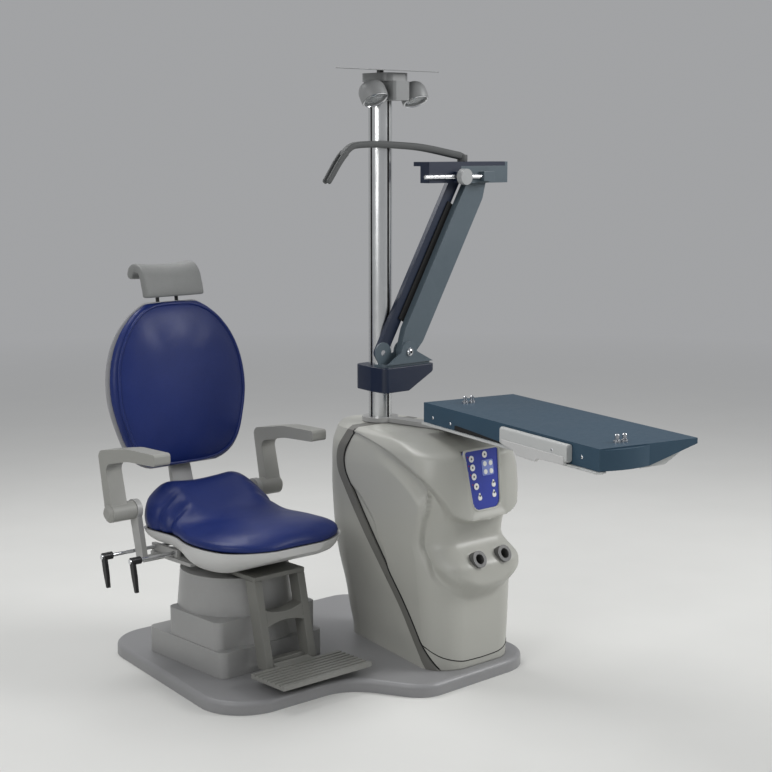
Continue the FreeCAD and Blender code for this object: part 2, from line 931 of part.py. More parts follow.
def back_shell_section(z, half):
    keel = half * back_shell_keel_share
    rear = back_low_y + back_shell_thickness
    a = V(chair_x - half, back_low_y, z)
    b = V(chair_x + half, back_low_y, z)
    c = V(chair_x + keel, rear, z)
    d = V(chair_x - keel, rear, z)
    return Part.Wire([line(a, b), line(b, c), line(c, d), line(d, a)])


def backrest_shell():
    wires = []
    for along, half, front, brow in back_section_shares:
        wires.append(back_shell_section(back_low_z + back_height * along,
                                        back_half_width * half * back_shell_share))
    shell = Part.makeLoft(wires, True, False)
    for side in (-1, 1):
        shell = shell.cut(rod(V(chair_x + side * head_rod_spacing / 2, back_low_y + back_shell_thickness / 2,
                                back_top() - head_rod_length), AXIS_Z, head_rod_radius + running_clearance,
                              head_rod_length * 2))
    return lean_back(shell)


def back_top():
    return back_low_z + back_height


def backrest_bracket():
    rear = back_low_y + back_shell_thickness
    plate = lean_back(box(chair_x - bracket_plate_half_width, chair_x + bracket_plate_half_width,
                          rear, rear + bracket_plate_thickness, back_low_z, bracket_plate_top))
    stem = plain([(recline_y - recline_knuckle_radius, recline_z),
                  (recline_y + recline_knuckle_radius, recline_z),
                  (rear + bracket_plate_thickness, back_low_z), (rear, back_low_z)])
    neck = slab(stem, on_yz(chair_x - bracket_knuckle_half), V(2 * bracket_knuckle_half, 0, 0))
    knuckle = rod(V(chair_x - bracket_knuckle_half, recline_y, recline_z), AXIS_X, recline_knuckle_radius,
                  2 * bracket_knuckle_half)
    bore = rod(V(chair_x - bracket_plate_half_width, recline_y, recline_z), AXIS_X,
               recline_pin_radius + running_clearance, 2 * bracket_plate_half_width)
    return join([plate, neck, knuckle]).cut(bore).cut(backrest_room())


def backrest_room():
    return lean_back(box(chair_x - back_half_width, chair_x + back_half_width,
                         back_low_y - 2 * back_thickness, back_low_y + back_shell_thickness,
                         back_low_z - overrun, back_top()))


# Headrest
def head_pivot_z():
    return back_top() + head_lift + head_leg / 2


def head_rod_y():
    return back_low_y + back_shell_thickness / 2


def headrest_rods():
    top = head_pivot_z()
    rods = []
    for side in (-1, 1):
        rods.append(rod(V(chair_x + side * head_rod_spacing / 2, head_rod_y(),
                          back_top() - head_rod_length + overrun),
                        AXIS_Z, head_rod_radius, top - back_top() + head_rod_length - overrun))
    half = head_rod_spacing / 2 + head_socket_radius
    bar = rod(V(chair_x - half, head_rod_y(), top), AXIS_X, head_bar_radius, 2 * half)
    return lean_back(join(rods + [bar]))


def headrest_pad():
    front = head_rod_y() - head_standoff
    low = back_top() + head_lift
    bend_y = front + head_bend_radius
    bend_z = low + head_leg
    inner_radius = head_bend_radius - head_thickness
    end = math.radians(head_bend_end)
    middle = (math.pi + end) / 2
    place = on_yz(chair_x - head_half_width)

    def ring(radius, angle):
        return place(bend_y + radius * math.cos(angle), bend_z + radius * math.sin(angle))

    tip_radius = head_thickness / 2
    tip_y = bend_y + (head_bend_radius - tip_radius) * math.cos(end) + tip_radius * math.sin(end)
    tip_z = bend_z + (head_bend_radius - tip_radius) * math.sin(end) - tip_radius * math.cos(end)
    wire = Part.Wire([
        line(place(front, low), place(front, bend_z)),
        arc(place(front, bend_z), ring(head_bend_radius, middle), ring(head_bend_radius, end)),
        arc(ring(head_bend_radius, end), place(tip_y, tip_z), ring(inner_radius, end)),
        arc(ring(inner_radius, end), ring(inner_radius, middle), place(front + head_thickness, bend_z)),
        line(place(front + head_thickness, bend_z), place(front + head_thickness, low)),
        line(place(front + head_thickness, low), place(front, low)),
    ])
    pad = Part.Face(wire).extrude(V(2 * head_half_width, 0, 0))
    half = head_rod_spacing / 2 - head_socket_radius
    ear = box(chair_x - half, chair_x + half, front + head_thickness - running_clearance, head_rod_y(),
              head_pivot_z() - head_socket_radius, head_pivot_z() + head_socket_radius)
    boss = rod(V(chair_x - half, head_rod_y(), head_pivot_z()), AXIS_X, head_socket_radius, 2 * half)
    bore = rod(V(chair_x - head_half_width, head_rod_y(), head_pivot_z()), AXIS_X,
               head_bar_radius + running_clearance, 2 * head_half_width)
    return lean_back(join([pad, ear, boss]).cut(bore))


# Console
def console_section(level, wall):
    height, rear_half, rear_depth, half, front, corner = level
    z = base_thickness + (console_height - base_thickness) * height
    a = console_half_width * rear_half - wall
    b = console_rear * rear_depth - wall
    w = console_half_width * half - wall
    f = -console_reach * front + wall
    c = console_half_width * corner - wall
    slope = math.sqrt(2) / 2
    dip = c * (1 - slope)
    return Part.Wire([
        arc(V(a, 0, z), V(0, b, z), V(-a, 0, z)),
        line(V(-a, 0, z), V(-w, f + c, z)),
        arc(V(-w, f + c, z), V(-w + dip, f + dip, z), V(-w + c, f, z)),
        line(V(-w + c, f, z), V(w - c, f, z)),
        arc(V(w - c, f, z), V(w - dip, f + dip, z), V(w, f + c, z)),
        line(V(w, f + c, z), V(a, 0, z)),
    ])


def console_loft(wall):
    levels = console_level_shares
    trunk = Part.makeLoft([console_section(level, wall) for level in levels[:-2]],
                          True, False, False, loft_degree)
    crown = Part.makeLoft([console_section(level, wall) for level in levels[-3:]], True, True)
    solid = trunk.fuse(crown)
    if wall <= 0:
        return solid
    reach = console_height * 2
    roof = box(-reach, reach, -reach, reach, 0, console_height - wall)
    return solid.common(roof)


def trim_line(shift):
    top = console_height + overrun
    return [(trim_top_y + shift, top, 0), (trim_bend_y + shift, trim_bend_z, trim_bend_radius),
            (trim_foot_y + shift, 0, 0)]


def front_region(shift):
    far = -2 * console_reach
    corners = trim_line(shift) + [(far, 0, 0), (far, console_height + overrun, 0)]
    return slab(corners, on_yz(-console_reach), V(2 * console_reach, 0, 0))


def roof_hole():
    return rod(V(0, 0, console_height / 2), AXIS_Z, console_roof_hole, console_height)


def console_skin():
    return console_loft(0).cut(console_loft(console_wall))


def on_keypad(shape):
    """From the panel's own frame, where +Z is up the panel and -Y its outward face, to its place."""
    copy = shape.copy()
    copy.rotate(ORIGIN, AXIS_X, -keypad_lean)
    copy.translate(V(0, keypad_y, keypad_z))
    return copy


def keypad_prism(grow, front, rear):
    top = keypad_top_half + grow
    low = keypad_low_half + grow
    half = keypad_half_height + grow
    corners = [(-top, half, keypad_top_radius + grow), (-low, -half, keypad_low_radius + grow),
               (low, -half, keypad_low_radius + grow), (top, half, keypad_top_radius + grow)]
    return on_keypad(slab(corners, on_xz(front), V(0, rear - front, 0)))


def well_axis():
    tilt = math.radians(well_tilt)
    return V(0, -math.sin(tilt), math.cos(tilt))


def well_centres():
    return [V(side * well_spacing / 2, well_y, well_z) for side in (-1, 1)]


def console_front_cover():
    cover = console_skin().common(front_region(-panel_gap))
    rim = keypad_prism(keypad_rim, console_wall / 2, keypad_rim_depth)
    cover = cover.fuse(rim)
    cover = cover.cut(keypad_prism(0, -keypad_rim_depth * 2, keypad_rim_depth * 2))
    for centre in well_centres():
        radius = well_bore_radius + well_wall + seat_gap
        cover = cover.cut(rod(centre - well_axis() * well_depth, well_axis(), radius, well_depth * 2))
        ring = well_ring_radius + seat_gap
        cover = cover.cut(rod(centre - well_axis() * well_ring_sink, well_axis(), ring, well_depth))
    cover = cover.cut(roof_hole())
    return largest(cover)


def largest(shape):
    return max(shape.Solids, key=lambda solid: solid.Volume)


def console_trim():
    band = front_region(trim_width).cut(front_region(0))
    trim = console_loft(-trim_proud).common(band)
    trim = trim.cut(console_loft(console_wall))
    reach = console_half_width * 2
    trim = trim.cut(box(-reach, reach, -reach * 2, reach * 2, 0, base_thickness))
    return trim.cut(roof_hole())


def console_body():
    body = console_skin().cut(front_region(trim_width)).cut(roof_hole())
    return largest(body)


def instrument_wells():
    wells = []
    axis = well_axis()
    for centre in well_centres():
        tube = rod(centre - axis * well_depth, axis, well_bore_radius + well_wall, well_depth)
        ring = rod(centre - axis * well_ring_sink, axis, well_ring_radius, well_ring_sink + well_ring_height)
        bore = rod(centre - axis * (well_depth - well_wall), axis, well_bore_radius, well_depth * 2)
        wells.append(join([tube, ring]).cut(bore))
    return group(wells)


def key_place(share):
    return share[0] * keypad_top_half, share[1] * keypad_half_height


def key_prism(grow, kind, share):
    x, z = key_place(share)
    front = keypad_recess - key_proud - grow
    depth = key_height + grow * 2
    if kind == "round":
        return rod(V(x, front, z), AXIS_Y, key_radius + grow, depth)
    if kind == "drop":
        half = key_radius + grow
        lift = drop_key_length / 2
        disc = rod(V(x, front, z - lift), AXIS_Y, half, depth)
        foot = half * drop_tip_share
        tip = slab([(x - foot, z - lift, 0), (x + foot, z - lift, 0), (x, z + lift + half, key_height / 2)],
                   on_xz(front), V(0, depth, 0))
        return join([disc, tip])
    half = four_key_half + grow
    return slab(rectangle(x - half, x + half, z - half, z + half, four_key_radius + grow), on_xz(front),
                V(0, depth, 0))


def all_keys():
    table = []
    for kind, shares in (("round", round_key_shares), ("drop", drop_key_shares), ("four", four_key_shares)):
        for name, share in shares.items():
            table.append((name, kind, share))
    return table


def keypad_panel():
    panel = keypad_prism(-seat_gap, keypad_recess, keypad_recess + keypad_thickness)
    for name, kind, share in all_keys():
        pocket = key_prism(key_hole_gap, kind, share)
        pocket.translate(V(0, key_proud, 0))
        both = join([pocket, key_prism(key_hole_gap, kind, share)])
        panel = panel.cut(on_keypad(both))
    return panel


def key(kind, share):
    cap = key_prism(0, kind, share)
    if kind == "four":
        x, z = key_place(share)
        front = keypad_recess - key_proud - four_dot_height
        dots = []
        for side in (-1, 1):
            for level in (-1, 1):
                dots.append(rod(V(x + side * four_dot_offset, front, z + level * four_dot_offset), AXIS_Y,
                                four_dot_radius, key_height))
        cap = join([cap] + dots)
    return on_keypad(cap)


def console_frame():
    posts = []
    for side in (-1, 1):
        x = side * post_x
        posts.append(box(x - post_half, x + post_half, post_y - post_half, post_y + post_half,
                         base_thickness, post_top))
    clamp = box(-post_x - post_half, post_x + post_half, clamp_front, clamp_rear, post_top,
                post_top + clamp_thickness)
    return join(posts + [clamp]).cut(rod(ORIGIN, AXIS_Z, column_radius, console_height))


def power_supply():
    return box(-supply_half_width, supply_half_width, supply_front, supply_rear, base_thickness,
               base_thickness + supply_height)


# Column with its overhead lamps
def column():
    shape = rod(V(0, 0, base_thickness), AXIS_Z, column_radius, column_top - base_thickness)
    for index in range(slot_count):
        slot = box(column_radius - slot_depth, column_radius + overrun, -slot_width / 2, slot_width / 2,
                   console_height, column_top + overrun)
        shape = shape.cut(turned(slot, ORIGIN, AXIS_Z, index * 360 / slot_count))
    return shape


def lamp_bracket():
    body = slab(rectangle(-bracket_half_width, bracket_half_width, bracket_y - bracket_reach, bracket_rear,
                          bracket_edge_radius), on_xy(column_top), V(0, 0, bracket_body_height))
    neck = slab(rectangle(-bracket_neck_half, bracket_neck_half, bracket_y - bracket_neck_reach, bracket_rear,
                          bracket_neck_radius), on_xy(column_top + bracket_body_height),
                V(0, 0, bracket_neck_height))
    pieces = [body, neck]
    for side in (-1, 1):
        pieces.append(rod(V(0, bracket_y, lamp_z), AXIS_X * side, lamp_stub_radius, lamp_stub_reach()))
    return join(pieces)


def lamp_stub_reach():
    return lamp_x - lamp_radius - free_gap + 2 * lamp_wall + bracket_socket


def lamp_tilt(side):
    return lamp_left_tilt if side < 0 else lamp_right_tilt


def lamp_housing(side):
    low = lamp_z - lamp_height / 2
    centre = V(side * lamp_x, bracket_y, low)
    drum = rod(centre, AXIS_Z, lamp_radius, lamp_height - lamp_crown_height)
    crown = Part.makeCone(lamp_radius, lamp_crown_radius, lamp_crown_height,
                          centre + V(0, 0, lamp_height - lamp_crown_height))
    cup = Part.makeCone(lamp_radius - lamp_wall, lamp_crown_radius - lamp_wall, lamp_cup_depth, centre)
    pivot = V(side * lamp_x, bracket_y, lamp_z)
    housing = turned(join([drum, crown]).cut(cup), pivot, AXIS_X, -lamp_tilt(side))
    socket = rod(V(0, bracket_y, lamp_z), AXIS_X * side, lamp_stub_radius + running_clearance,
                 lamp_stub_reach() + running_clearance)
    return housing.cut(socket)


def lamp_lens(side):
    low = lamp_z - lamp_height / 2
    taper = (lamp_radius - lamp_crown_radius) / lamp_cup_depth
    radius = lamp_radius - lamp_wall - taper * (lens_inset + lens_thickness)
    lens = rod(V(side * lamp_x, bracket_y, low + lens_inset), AXIS_Z, radius, lens_thickness)
    return turned(lens, V(side * lamp_x, bracket_y, lamp_z), AXIS_X, -lamp_tilt(side))


def projector_plate():
    plate = slab(rectangle(-plate_length / 2, plate_length / 2, plate_centre_y - plate_depth / 2,
                           plate_centre_y + plate_depth / 2, bracket_edge_radius),
                 on_xy(plate_height), V(0, 0, plate_thickness))
    plate = turned(plate, V(0, 0, plate_height), AXIS_X, plate_tilt)
    neck_top = column_top + bracket_body_height + bracket_neck_height
    post = rod(V(0, 0, neck_top + seat_gap), AXIS_Z, plate_post_radius, plate_height - neck_top - seat_gap
               + plate_thickness / 2)
    return join([plate, post])


# Instrument arm
def collar_plan():
    return [
        (collar_left, collar_front, collar_corner_radius),
        (collar_right, collar_front, collar_corner_radius),
        (collar_right, -column_radius, collar_corner_radius),
        (collar_sleeve_radius, collar_sleeve_radius, collar_sleeve_radius / 2),
        (-collar_sleeve_radius, collar_sleeve_radius, collar_sleeve_radius / 2),
        (collar_left, -column_radius, collar_corner_radius),
    ]


def arm_collar():
    blank = slab(collar_plan(), on_xy(collar_low), V(0, 0, collar_top - collar_low))
    right = collar_right + overrun
    under = slab(plain([(collar_taper_x, collar_low - overrun), (right, collar_low - overrun),
                        (right, collar_taper_z), (collar_right, collar_taper_z),
                        (collar_taper_x, collar_low)]),
                 on_xz(collar_front - overrun), V(0, collar_sleeve_radius - collar_front + 2 * overrun, 0))
    bore = rod(V(0, 0, collar_low - overrun), AXIS_Z, column_radius + running_clearance, console_height)
    return blank.cut(under).cut(bore)


def cheek(x0, x1, y0, thickness, pivot_x):
    foot = collar_top + clevis_step
    corners = plain([(x0, foot), (x1, foot), (pivot_x + cheek_radius, arm_pivot_z),
                     (pivot_x - cheek_radius, arm_pivot_z)])
    plate = slab(corners, on_xz(y0), V(0, thickness, 0))
    cap = rod(V(pivot_x, y0, arm_pivot_z), AXIS_Y, cheek_radius, thickness)
    return [plate, cap]


def front_cheek_y():
    return link_y - link_thickness / 2 - free_gap - cheek_thickness


def web_y():
    return link_y + link_thickness / 2 + free_gap


def web_end():
    return rear_link_y - rear_link_thickness / 2 - free_gap


def web_thickness():
    return web_end() - web_y()


def arm_clevis():
    step = clevis_step_inset
    left = collar_left + step
    right = collar_right - step
    rear = -column_radius - step
    floor = slab([(left, collar_front + step, collar_corner_radius),
                  (right, collar_front + step, collar_corner_radius), (right, rear, 0), (left, rear, 0)],
                 on_xy(collar_top), V(0, 0, clevis_step))
    rear_x = arm_pivot_x + rear_offset
    pieces = [floor]
    pieces += cheek(cheek_left, right, front_cheek_y(), cheek_thickness, arm_pivot_x)
    pieces += cheek(left, right, web_y(), web_thickness(), arm_pivot_x)
    pieces += cheek(left, rear_x + cheek_right, web_y(), web_thickness(), rear_x)
    clevis = join(pieces)
    for x in (arm_pivot_x, rear_x):
        clevis = clevis.cut(rod(V(x, collar_front - overrun, arm_pivot_z), AXIS_Y, link_pin_radius,
                                2 * overrun - collar_front))
    return clevis.cut(rod(V(0, 0, collar_low), AXIS_Z, column_radius + running_clearance, console_height))


def arm_pins():
    rear_x = arm_pivot_x + rear_offset
    head_y = front_cheek_y() - link_pin_head
    main = join([rod(V(arm_pivot_x, front_cheek_y(), arm_pivot_z), AXIS_Y, link_pin_radius,
                     web_end() - front_cheek_y()),
                 rod(V(arm_pivot_x, head_y, arm_pivot_z), AXIS_Y, link_pin_head_radius, link_pin_head)])
    rear = rod(V(rear_x, web_y(), arm_pivot_z), AXIS_Y, link_pin_radius,
               rear_link_y + rear_link_thickness / 2 - web_y())
    return group([main, rear])


def link_shape(pivot_x, y, thickness, width, end_radius):
    length = math.hypot(link_run, link_rise)
    half = width / 2
    shoulder = end_radius * 2
    corners = [
        (-end_radius, 0, 0), (-half, shoulder, end_radius), (-half, length - shoulder, end_radius),
        (-end_radius, length, 0), (end_radius, length, 0), (half, length - shoulder, end_radius),
        (half, shoulder, end_radius), (end_radius, 0, 0),
    ]
    bar = slab(corners, on_xz(y - thickness / 2), V(0, thickness, 0))
    ends = [rod(V(0, y - thickness / 2, z), AXIS_Y, end_radius, thickness) for z in (0, length)]
    link = join([bar] + ends)
    radius = link_pin_radius + running_clearance
    for z in (0, length):
        link = link.cut(rod(V(0, y - thickness, z), AXIS_Y, radius, 2 * thickness))
    link.rotate(ORIGIN, AXIS_Y, math.degrees(math.atan2(link_run, link_rise)))
    link.translate(V(pivot_x, 0, arm_pivot_z))
    return link


def arm_link():
    return link_shape(arm_pivot_x, link_y, link_thickness, link_width, link_end_radius)


def arm_rear_link():
    return link_shape(arm_pivot_x + rear_offset, rear_link_y, rear_link_thickness, rear_link_width,
                      rear_link_width / 2)


def head_pivot():
    return V(arm_pivot_x + link_run, 0, arm_pivot_z + link_rise)


def at_head(shape):
    copy = shape.copy()
    copy.translate(head_pivot())
    return copy


def arm_head():
    under_roof = head_top - head_roof
    block = box(head_left, head_block_right(), head_front_y, head_rear_y, head_low, head_top)
    roof = box(head_left, head_right - ear_thickness, head_front_y, head_rear_y, under_roof, head_top)
    root = head_block_right() - overrun
    tab = slab(plain([(root, head_low), (ear_radius, head_low),
                      (ear_radius, under_roof), (root, under_roof)]),
               on_xz(web_y()), V(0, web_thickness(), 0))
    lug = box(knob_x - lug_half_width, knob_x + lug_half_width, spigot_y - lug_reach, head_front_y + overrun,
              -lug_half_width, lug_half_width)
    hollow = box(head_left - overrun, rear_offset + rear_link_width, rear_link_y - rear_link_thickness,
                 head_rear_y + overrun, head_low - overrun, under_roof)
    rear_pin = rod(V(rear_offset, web_y(), 0), AXIS_Y, link_pin_radius - free_gap,
                   rear_link_y + rear_link_thickness / 2 - web_y())
    head = join([block.cut(hollow), roof, tab, lug, rear_pin])
    for bore in head_bores():
        head = head.cut(bore)
    return at_head(head)


def head_bores():
    lug_front = spigot_y - lug_reach - overrun
    return [
        rod(V(head_left - overrun, spigot_y, 0), AXIS_X, spigot_radius + running_clearance,
            head_right - head_left + 2 * overrun),
        rod(V(0, lug_front, 0), AXIS_Y, link_pin_radius, head_rear_y - lug_front + overrun),
        rod(V(hanger_x, hanger_y(), 0), AXIS_Z, hanger_pin_radius + running_clearance, head_top + overrun),
        rod(V(knob_x, lug_front, 0), AXIS_Y, knob_stem_radius + running_clearance, lug_reach + overrun),
    ]


def head_block_right():
    return knob_x + lug_half_width


def hanger_y():
    return (head_front_y + head_rear_y) / 2


def head_ear():
    front = head_front_y
    plate = box(head_block_right(), head_right, front, front + ear_thickness, ear_low, head_top - head_roof)
    nose = box(head_right - ear_thickness, head_right, front, head_rear_y, 0, head_top)
    pin = rod(V(0, front + ear_thickness, 0), AXIS_Y, link_pin_radius, web_end() - front - ear_thickness)
    lug = box(spigot_right - lug_half_width * 2, spigot_right + lug_half_width, spigot_y - lug_reach, front,
              -lug_half_width, lug_half_width)
    ear = join([plate, nose, pin, lug])
    bore = rod(V(spigot_left, spigot_y, 0), AXIS_X, spigot_radius + running_clearance, -spigot_left * 2)
    return at_head(ear.cut(bore))


def refractor_spigot():
    length = spigot_right - spigot_left
    shaft = rod(V(spigot_left, spigot_y, 0), AXIS_X, spigot_radius, length)
    for share in spigot_groove_shares:
        start = V(spigot_left + length * share, spigot_y, 0)
        sleeve = rod(start, AXIS_X, spigot_radius + overrun, spigot_groove_width)
        core = rod(start, AXIS_X, spigot_radius - spigot_groove_depth, spigot_groove_width)
        shaft = shaft.cut(sleeve.cut(core))
    return at_head(shaft)


def head_lock_knob():
    face = spigot_y - lug_reach - free_gap
    disc = rod(V(knob_x, face - knob_length, 0), AXIS_Y, knob_radius, knob_length)
    stem = rod(V(knob_x, face - knob_length, 0), AXIS_Y, knob_stem_radius,
               knob_length + free_gap + lug_reach - spigot_radius - free_gap)
    return at_head(join([disc, stem]))


def refractor_hanger():
    low = head_top + hanger_boss_gap
    boss = rod(V(hanger_x, hanger_y(), low), AXIS_Z, hanger_boss_radius,
               hanger_boss_height + hanger_thickness)
    pin = rod(V(hanger_x, hanger_y(), head_top - head_roof), AXIS_Z, hanger_pin_radius,
              head_roof + hanger_boss_height)
    start = low + hanger_boss_height
    thick = hanger_thickness
    path = [
        (hanger_x, start, 0),
        (hanger_knee_x, start + hanger_knee_rise, hanger_knee_radius),
        (hanger_elbow_x, start + hanger_elbow_rise, hanger_bend_radius),
        (hanger_end_x, start - hanger_end_drop, 0),
        (hanger_end_x - thick, start - hanger_end_drop + thick / 2, 0),
        (hanger_elbow_x - thick, start + hanger_elbow_rise + thick, hanger_bend_radius + thick),
        (hanger_knee_x, start + hanger_knee_rise + thick, hanger_knee_radius + thick),
        (hanger_x, start + thick, 0),
    ]
    bar = slab(path, on_xz(hanger_y() - hanger_width / 2), V(0, hanger_width, 0))
    slot = hanger_width * hanger_slot_share
    slot_end = hanger_elbow_x + (hanger_end_x - hanger_elbow_x) * hanger_slot_start_share
    fork = box(hanger_end_x - 2 * hanger_width, slot_end, hanger_y() - slot / 2, hanger_y() + slot / 2,
               start - 2 * hanger_end_drop, start + hanger_elbow_rise / 2)
    return at_head(join([bar.cut(fork), boss, pin]))


# Instrument table, built along Y and then turned about the column
def at_table(shape):
    return turned(shape, ORIGIN, AXIS_Z, table_turn)


def table_right():
    return table_left + table_width


def table_far():
    return table_near - table_length


def block_right():
    return table_left + table_block_width


def table_low():
    return table_top_z - table_apron


def table_top():
    section = plain([(table_left, table_top_z), (table_right(), table_top_z),
                     (table_right(), table_top_z - table_edge), (block_right(), table_low()),
                     (table_left, table_low())])
    blank = slab(section, on_xz(table_far()), V(0, table_length, 0))
    hollow = box(table_left + table_skin, block_right() - table_skin, table_far() + table_skin,
                 table_near - table_skin, table_low() - overrun, table_top_z - table_skin)
    return at_table(blank.cut(hollow).cut(handle_pin(handle_pin_radius + running_clearance)))


def tray_top():
    return table_top_z - table_skin - tray_gap


def tray_low():
    return table_low() - tray_gap - tray_thickness


def wing_slope():
    return (table_apron - table_edge) / (table_right() - block_right())


def table_tray():
    left = table_left - tray_lip
    right = block_right()
    near = table_near + tray_inset
    far = table_far() + tray_far_gap
    low = tray_low()
    floor = slab(rectangle(left, right, far, near, table_corner_radius), on_xy(low), V(0, 0, tray_thickness))
    rise = tray_wing_reach * wing_slope()
    wing_low = low + tray_thickness - tray_wing_gap - tray_wing_thickness
    wing = slab(plain([(right - tray_rail_width, wing_low), (right, wing_low),
                       (right + tray_wing_reach, wing_low + rise),
                       (right + tray_wing_reach, wing_low + rise + tray_wing_thickness),
                       (right, wing_low + tray_wing_thickness),
                       (right - tray_rail_width, wing_low + tray_wing_thickness)]),
                on_xz(far + table_corner_radius), V(0, near - far - 2 * table_corner_radius, 0))
    rails = []
    rail_near = table_near - rail_near_gap
    rail_far = table_far() + rail_far_gap
    for x in (table_left + tray_rail_inset, right - tray_rail_right_inset - tray_rail_width):
        rails.append(box(x, x + tray_rail_width, rail_far, rail_near, low, tray_top()))
    return at_table(join([floor, wing] + rails))


def table_arm():
    hub = rod(V(0, 0, hub_low), AXIS_Z, hub_radius, hub_height)
    half = table_arm_width / 2
    end = table_near - table_arm_overlap
    left = table_arm_x - half
    right = table_arm_x + half
    bar = slab([(-half, 0, 0), (half, 0, 0), (right, table_near + half, half), (right, end, 0),
                (left, end, 0), (left, table_near, half)], on_xy(hub_low), V(0, 0, hub_height))
    pad = box(left, right, end, table_near, hub_low, tray_low())
    bore = rod(V(0, 0, hub_low - overrun), AXIS_Z, column_radius + running_clearance, console_height)
    return at_table(join([hub, bar, pad]).cut(bore))


def table_studs():
    studs = []
    for y in (stud_near, stud_far):
        for side in (-1, 1):
            x = stud_x + side * stud_spacing / 2
            stem = rod(V(x, y, table_top_z), AXIS_Z, stud_radius, stud_height)
            collar = rod(V(x, y, table_top_z), AXIS_Z, stud_collar_radius, stud_collar_height)
            studs.append(join([stem, collar]))
    return at_table(group(studs))


def handle_pivot():
    return V(table_left, handle_near - handle_length + handle_height / 2,
             table_top_z - handle_top_gap - handle_height / 2)


def handle_pin(radius):
    start = handle_pivot() - V(handle_thickness / 2, 0, 0)
    return rod(start, AXIS_X, radius, handle_thickness / 2 + handle_pin_length)


def table_lock_handle():
    top = table_top_z - handle_top_gap
    right = table_left - free_gap
    grip = slab(rectangle(right - handle_thickness, right, top - handle_height, top, handle_radius),
                on_xz(handle_near - handle_length), V(0, handle_length, 0))
    return at_table(join([grip, handle_pin(handle_pin_radius)]))


def build():
    nodes = {
        "base_plate": base_plate(),
        "pedestal_cover": pedestal_cover(),
        "lift_cylinder": lift_cylinder(),
        "lift_ram": lift_ram(),
        "seat_carrier": seat_carrier(),
        "footrest_frame": footrest_frame(),
        "foot_plate": foot_plate(),
        "seat_frame": seat_frame(),
        "seat_shell": seat_shell(),
        "seat_cushion": seat_cushion(),
        "chair_pins": chair_pins(),
        "armrest_right": armrest(-1),
        "armrest_left": armrest(1),
        "recline_lever_rod": lever_rod(recline_lever_y, recline_lever_reach),
        "recline_lever_handle": lever_handle(recline_lever_y, recline_lever_reach),
        "swivel_lever_rod": lever_rod(swivel_lever_y, swivel_lever_reach),
        "swivel_lever_handle": lever_handle(swivel_lever_y, swivel_lever_reach),
        "backrest_bracket": backrest_bracket(),
        "backrest_shell": backrest_shell(),
        "backrest_cushion": backrest_cushion(),
        "headrest_rods": headrest_rods(),
        "headrest_pad": headrest_pad(),
        "console_body": console_body(),
        "console_front_cover": console_front_cover(),
        "console_trim": console_trim(),
        "console_frame": console_frame(),
        "power_supply": power_supply(),
        "keypad_panel": keypad_panel(),
        "instrument_wells": instrument_wells(),
        "column": column(),
        "lamp_bracket": lamp_bracket(),
        "lamp_left": lamp_housing(-1),
        "lamp_right": lamp_housing(1),
        "lamp_lens_left": lamp_lens(-1),
        "lamp_lens_right": lamp_lens(1),
        "projector_plate": projector_plate(),
        "arm_collar": arm_collar(),
        "arm_clevis": arm_clevis(),
        "arm_pins": arm_pins(),
        "arm_link": arm_link(),
        "arm_rear_link": arm_rear_link(),
        "arm_head": arm_head(),
        "head_ear": head_ear(),
        "refractor_spigot": refractor_spigot(),
        "head_lock_knob": head_lock_knob(),
        "refractor_hanger": refractor_hanger(),
        "table_arm": table_arm(),
        "table_tray": table_tray(),
        "table_top": table_top(),
        "table_studs": table_studs(),
        "table_lock_handle": table_lock_handle(),
    }
    for name, kind, share in all_keys():
        nodes[name] = key(kind, share)
    return nodes


def main():
    os.makedirs("parts", exist_ok=True)
    for name, shape in build().items():
        print(name, len(shape.Solids), shape.isValid())
        shape.exportStep("parts/" + name + ".step")


main()
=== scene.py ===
# %% [markdown]
# # Ophthalmic unit, dressed for a photograph
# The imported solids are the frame. This notebook gives each of them a material, makes the cushions soft,
# rounds the hard edges and adds the small pieces that a close look would miss.

# %% Load the frame
import json
from math import copysign, cos, exp, hypot, pi, radians, sin, sqrt, tan

import bmesh
import bpy
from mathutils import Matrix, Vector
from mathutils.bvhtree import BVHTree


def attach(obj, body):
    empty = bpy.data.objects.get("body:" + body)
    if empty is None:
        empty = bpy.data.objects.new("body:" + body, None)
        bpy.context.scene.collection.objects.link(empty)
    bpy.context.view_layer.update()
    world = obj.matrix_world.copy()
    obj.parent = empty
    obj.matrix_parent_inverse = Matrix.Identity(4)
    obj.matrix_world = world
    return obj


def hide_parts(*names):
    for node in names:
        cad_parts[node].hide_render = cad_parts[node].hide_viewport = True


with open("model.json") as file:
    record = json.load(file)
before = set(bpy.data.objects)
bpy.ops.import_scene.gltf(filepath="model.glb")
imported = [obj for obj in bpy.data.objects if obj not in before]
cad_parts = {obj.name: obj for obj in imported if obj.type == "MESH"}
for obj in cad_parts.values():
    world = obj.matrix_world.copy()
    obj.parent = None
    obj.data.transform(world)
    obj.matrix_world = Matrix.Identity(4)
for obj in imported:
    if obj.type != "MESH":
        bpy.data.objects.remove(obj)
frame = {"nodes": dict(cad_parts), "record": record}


scene = bpy.context.scene
nodes = frame["nodes"]
behaviour = frame["record"]["behaviour"]
body_of_node = {node: body for body, names in behaviour["bodies"].items() for node in names}
slot_of_node = {entry["node"]: entry["material_slot"] for entry in frame["record"]["subparts"]}
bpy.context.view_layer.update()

# %% [markdown]
# ## Shader fields
# A `Field` is a socket that can be added and multiplied like a number, so a pattern reads as a formula.
# A `Surface` is the shader that the fields feed.


# %% Shader fields
def arithmetic(operation):
    """A method that joins a field to another field or a number."""
    return lambda field, other: field.make("ShaderNodeMath", field, other, operation=operation)


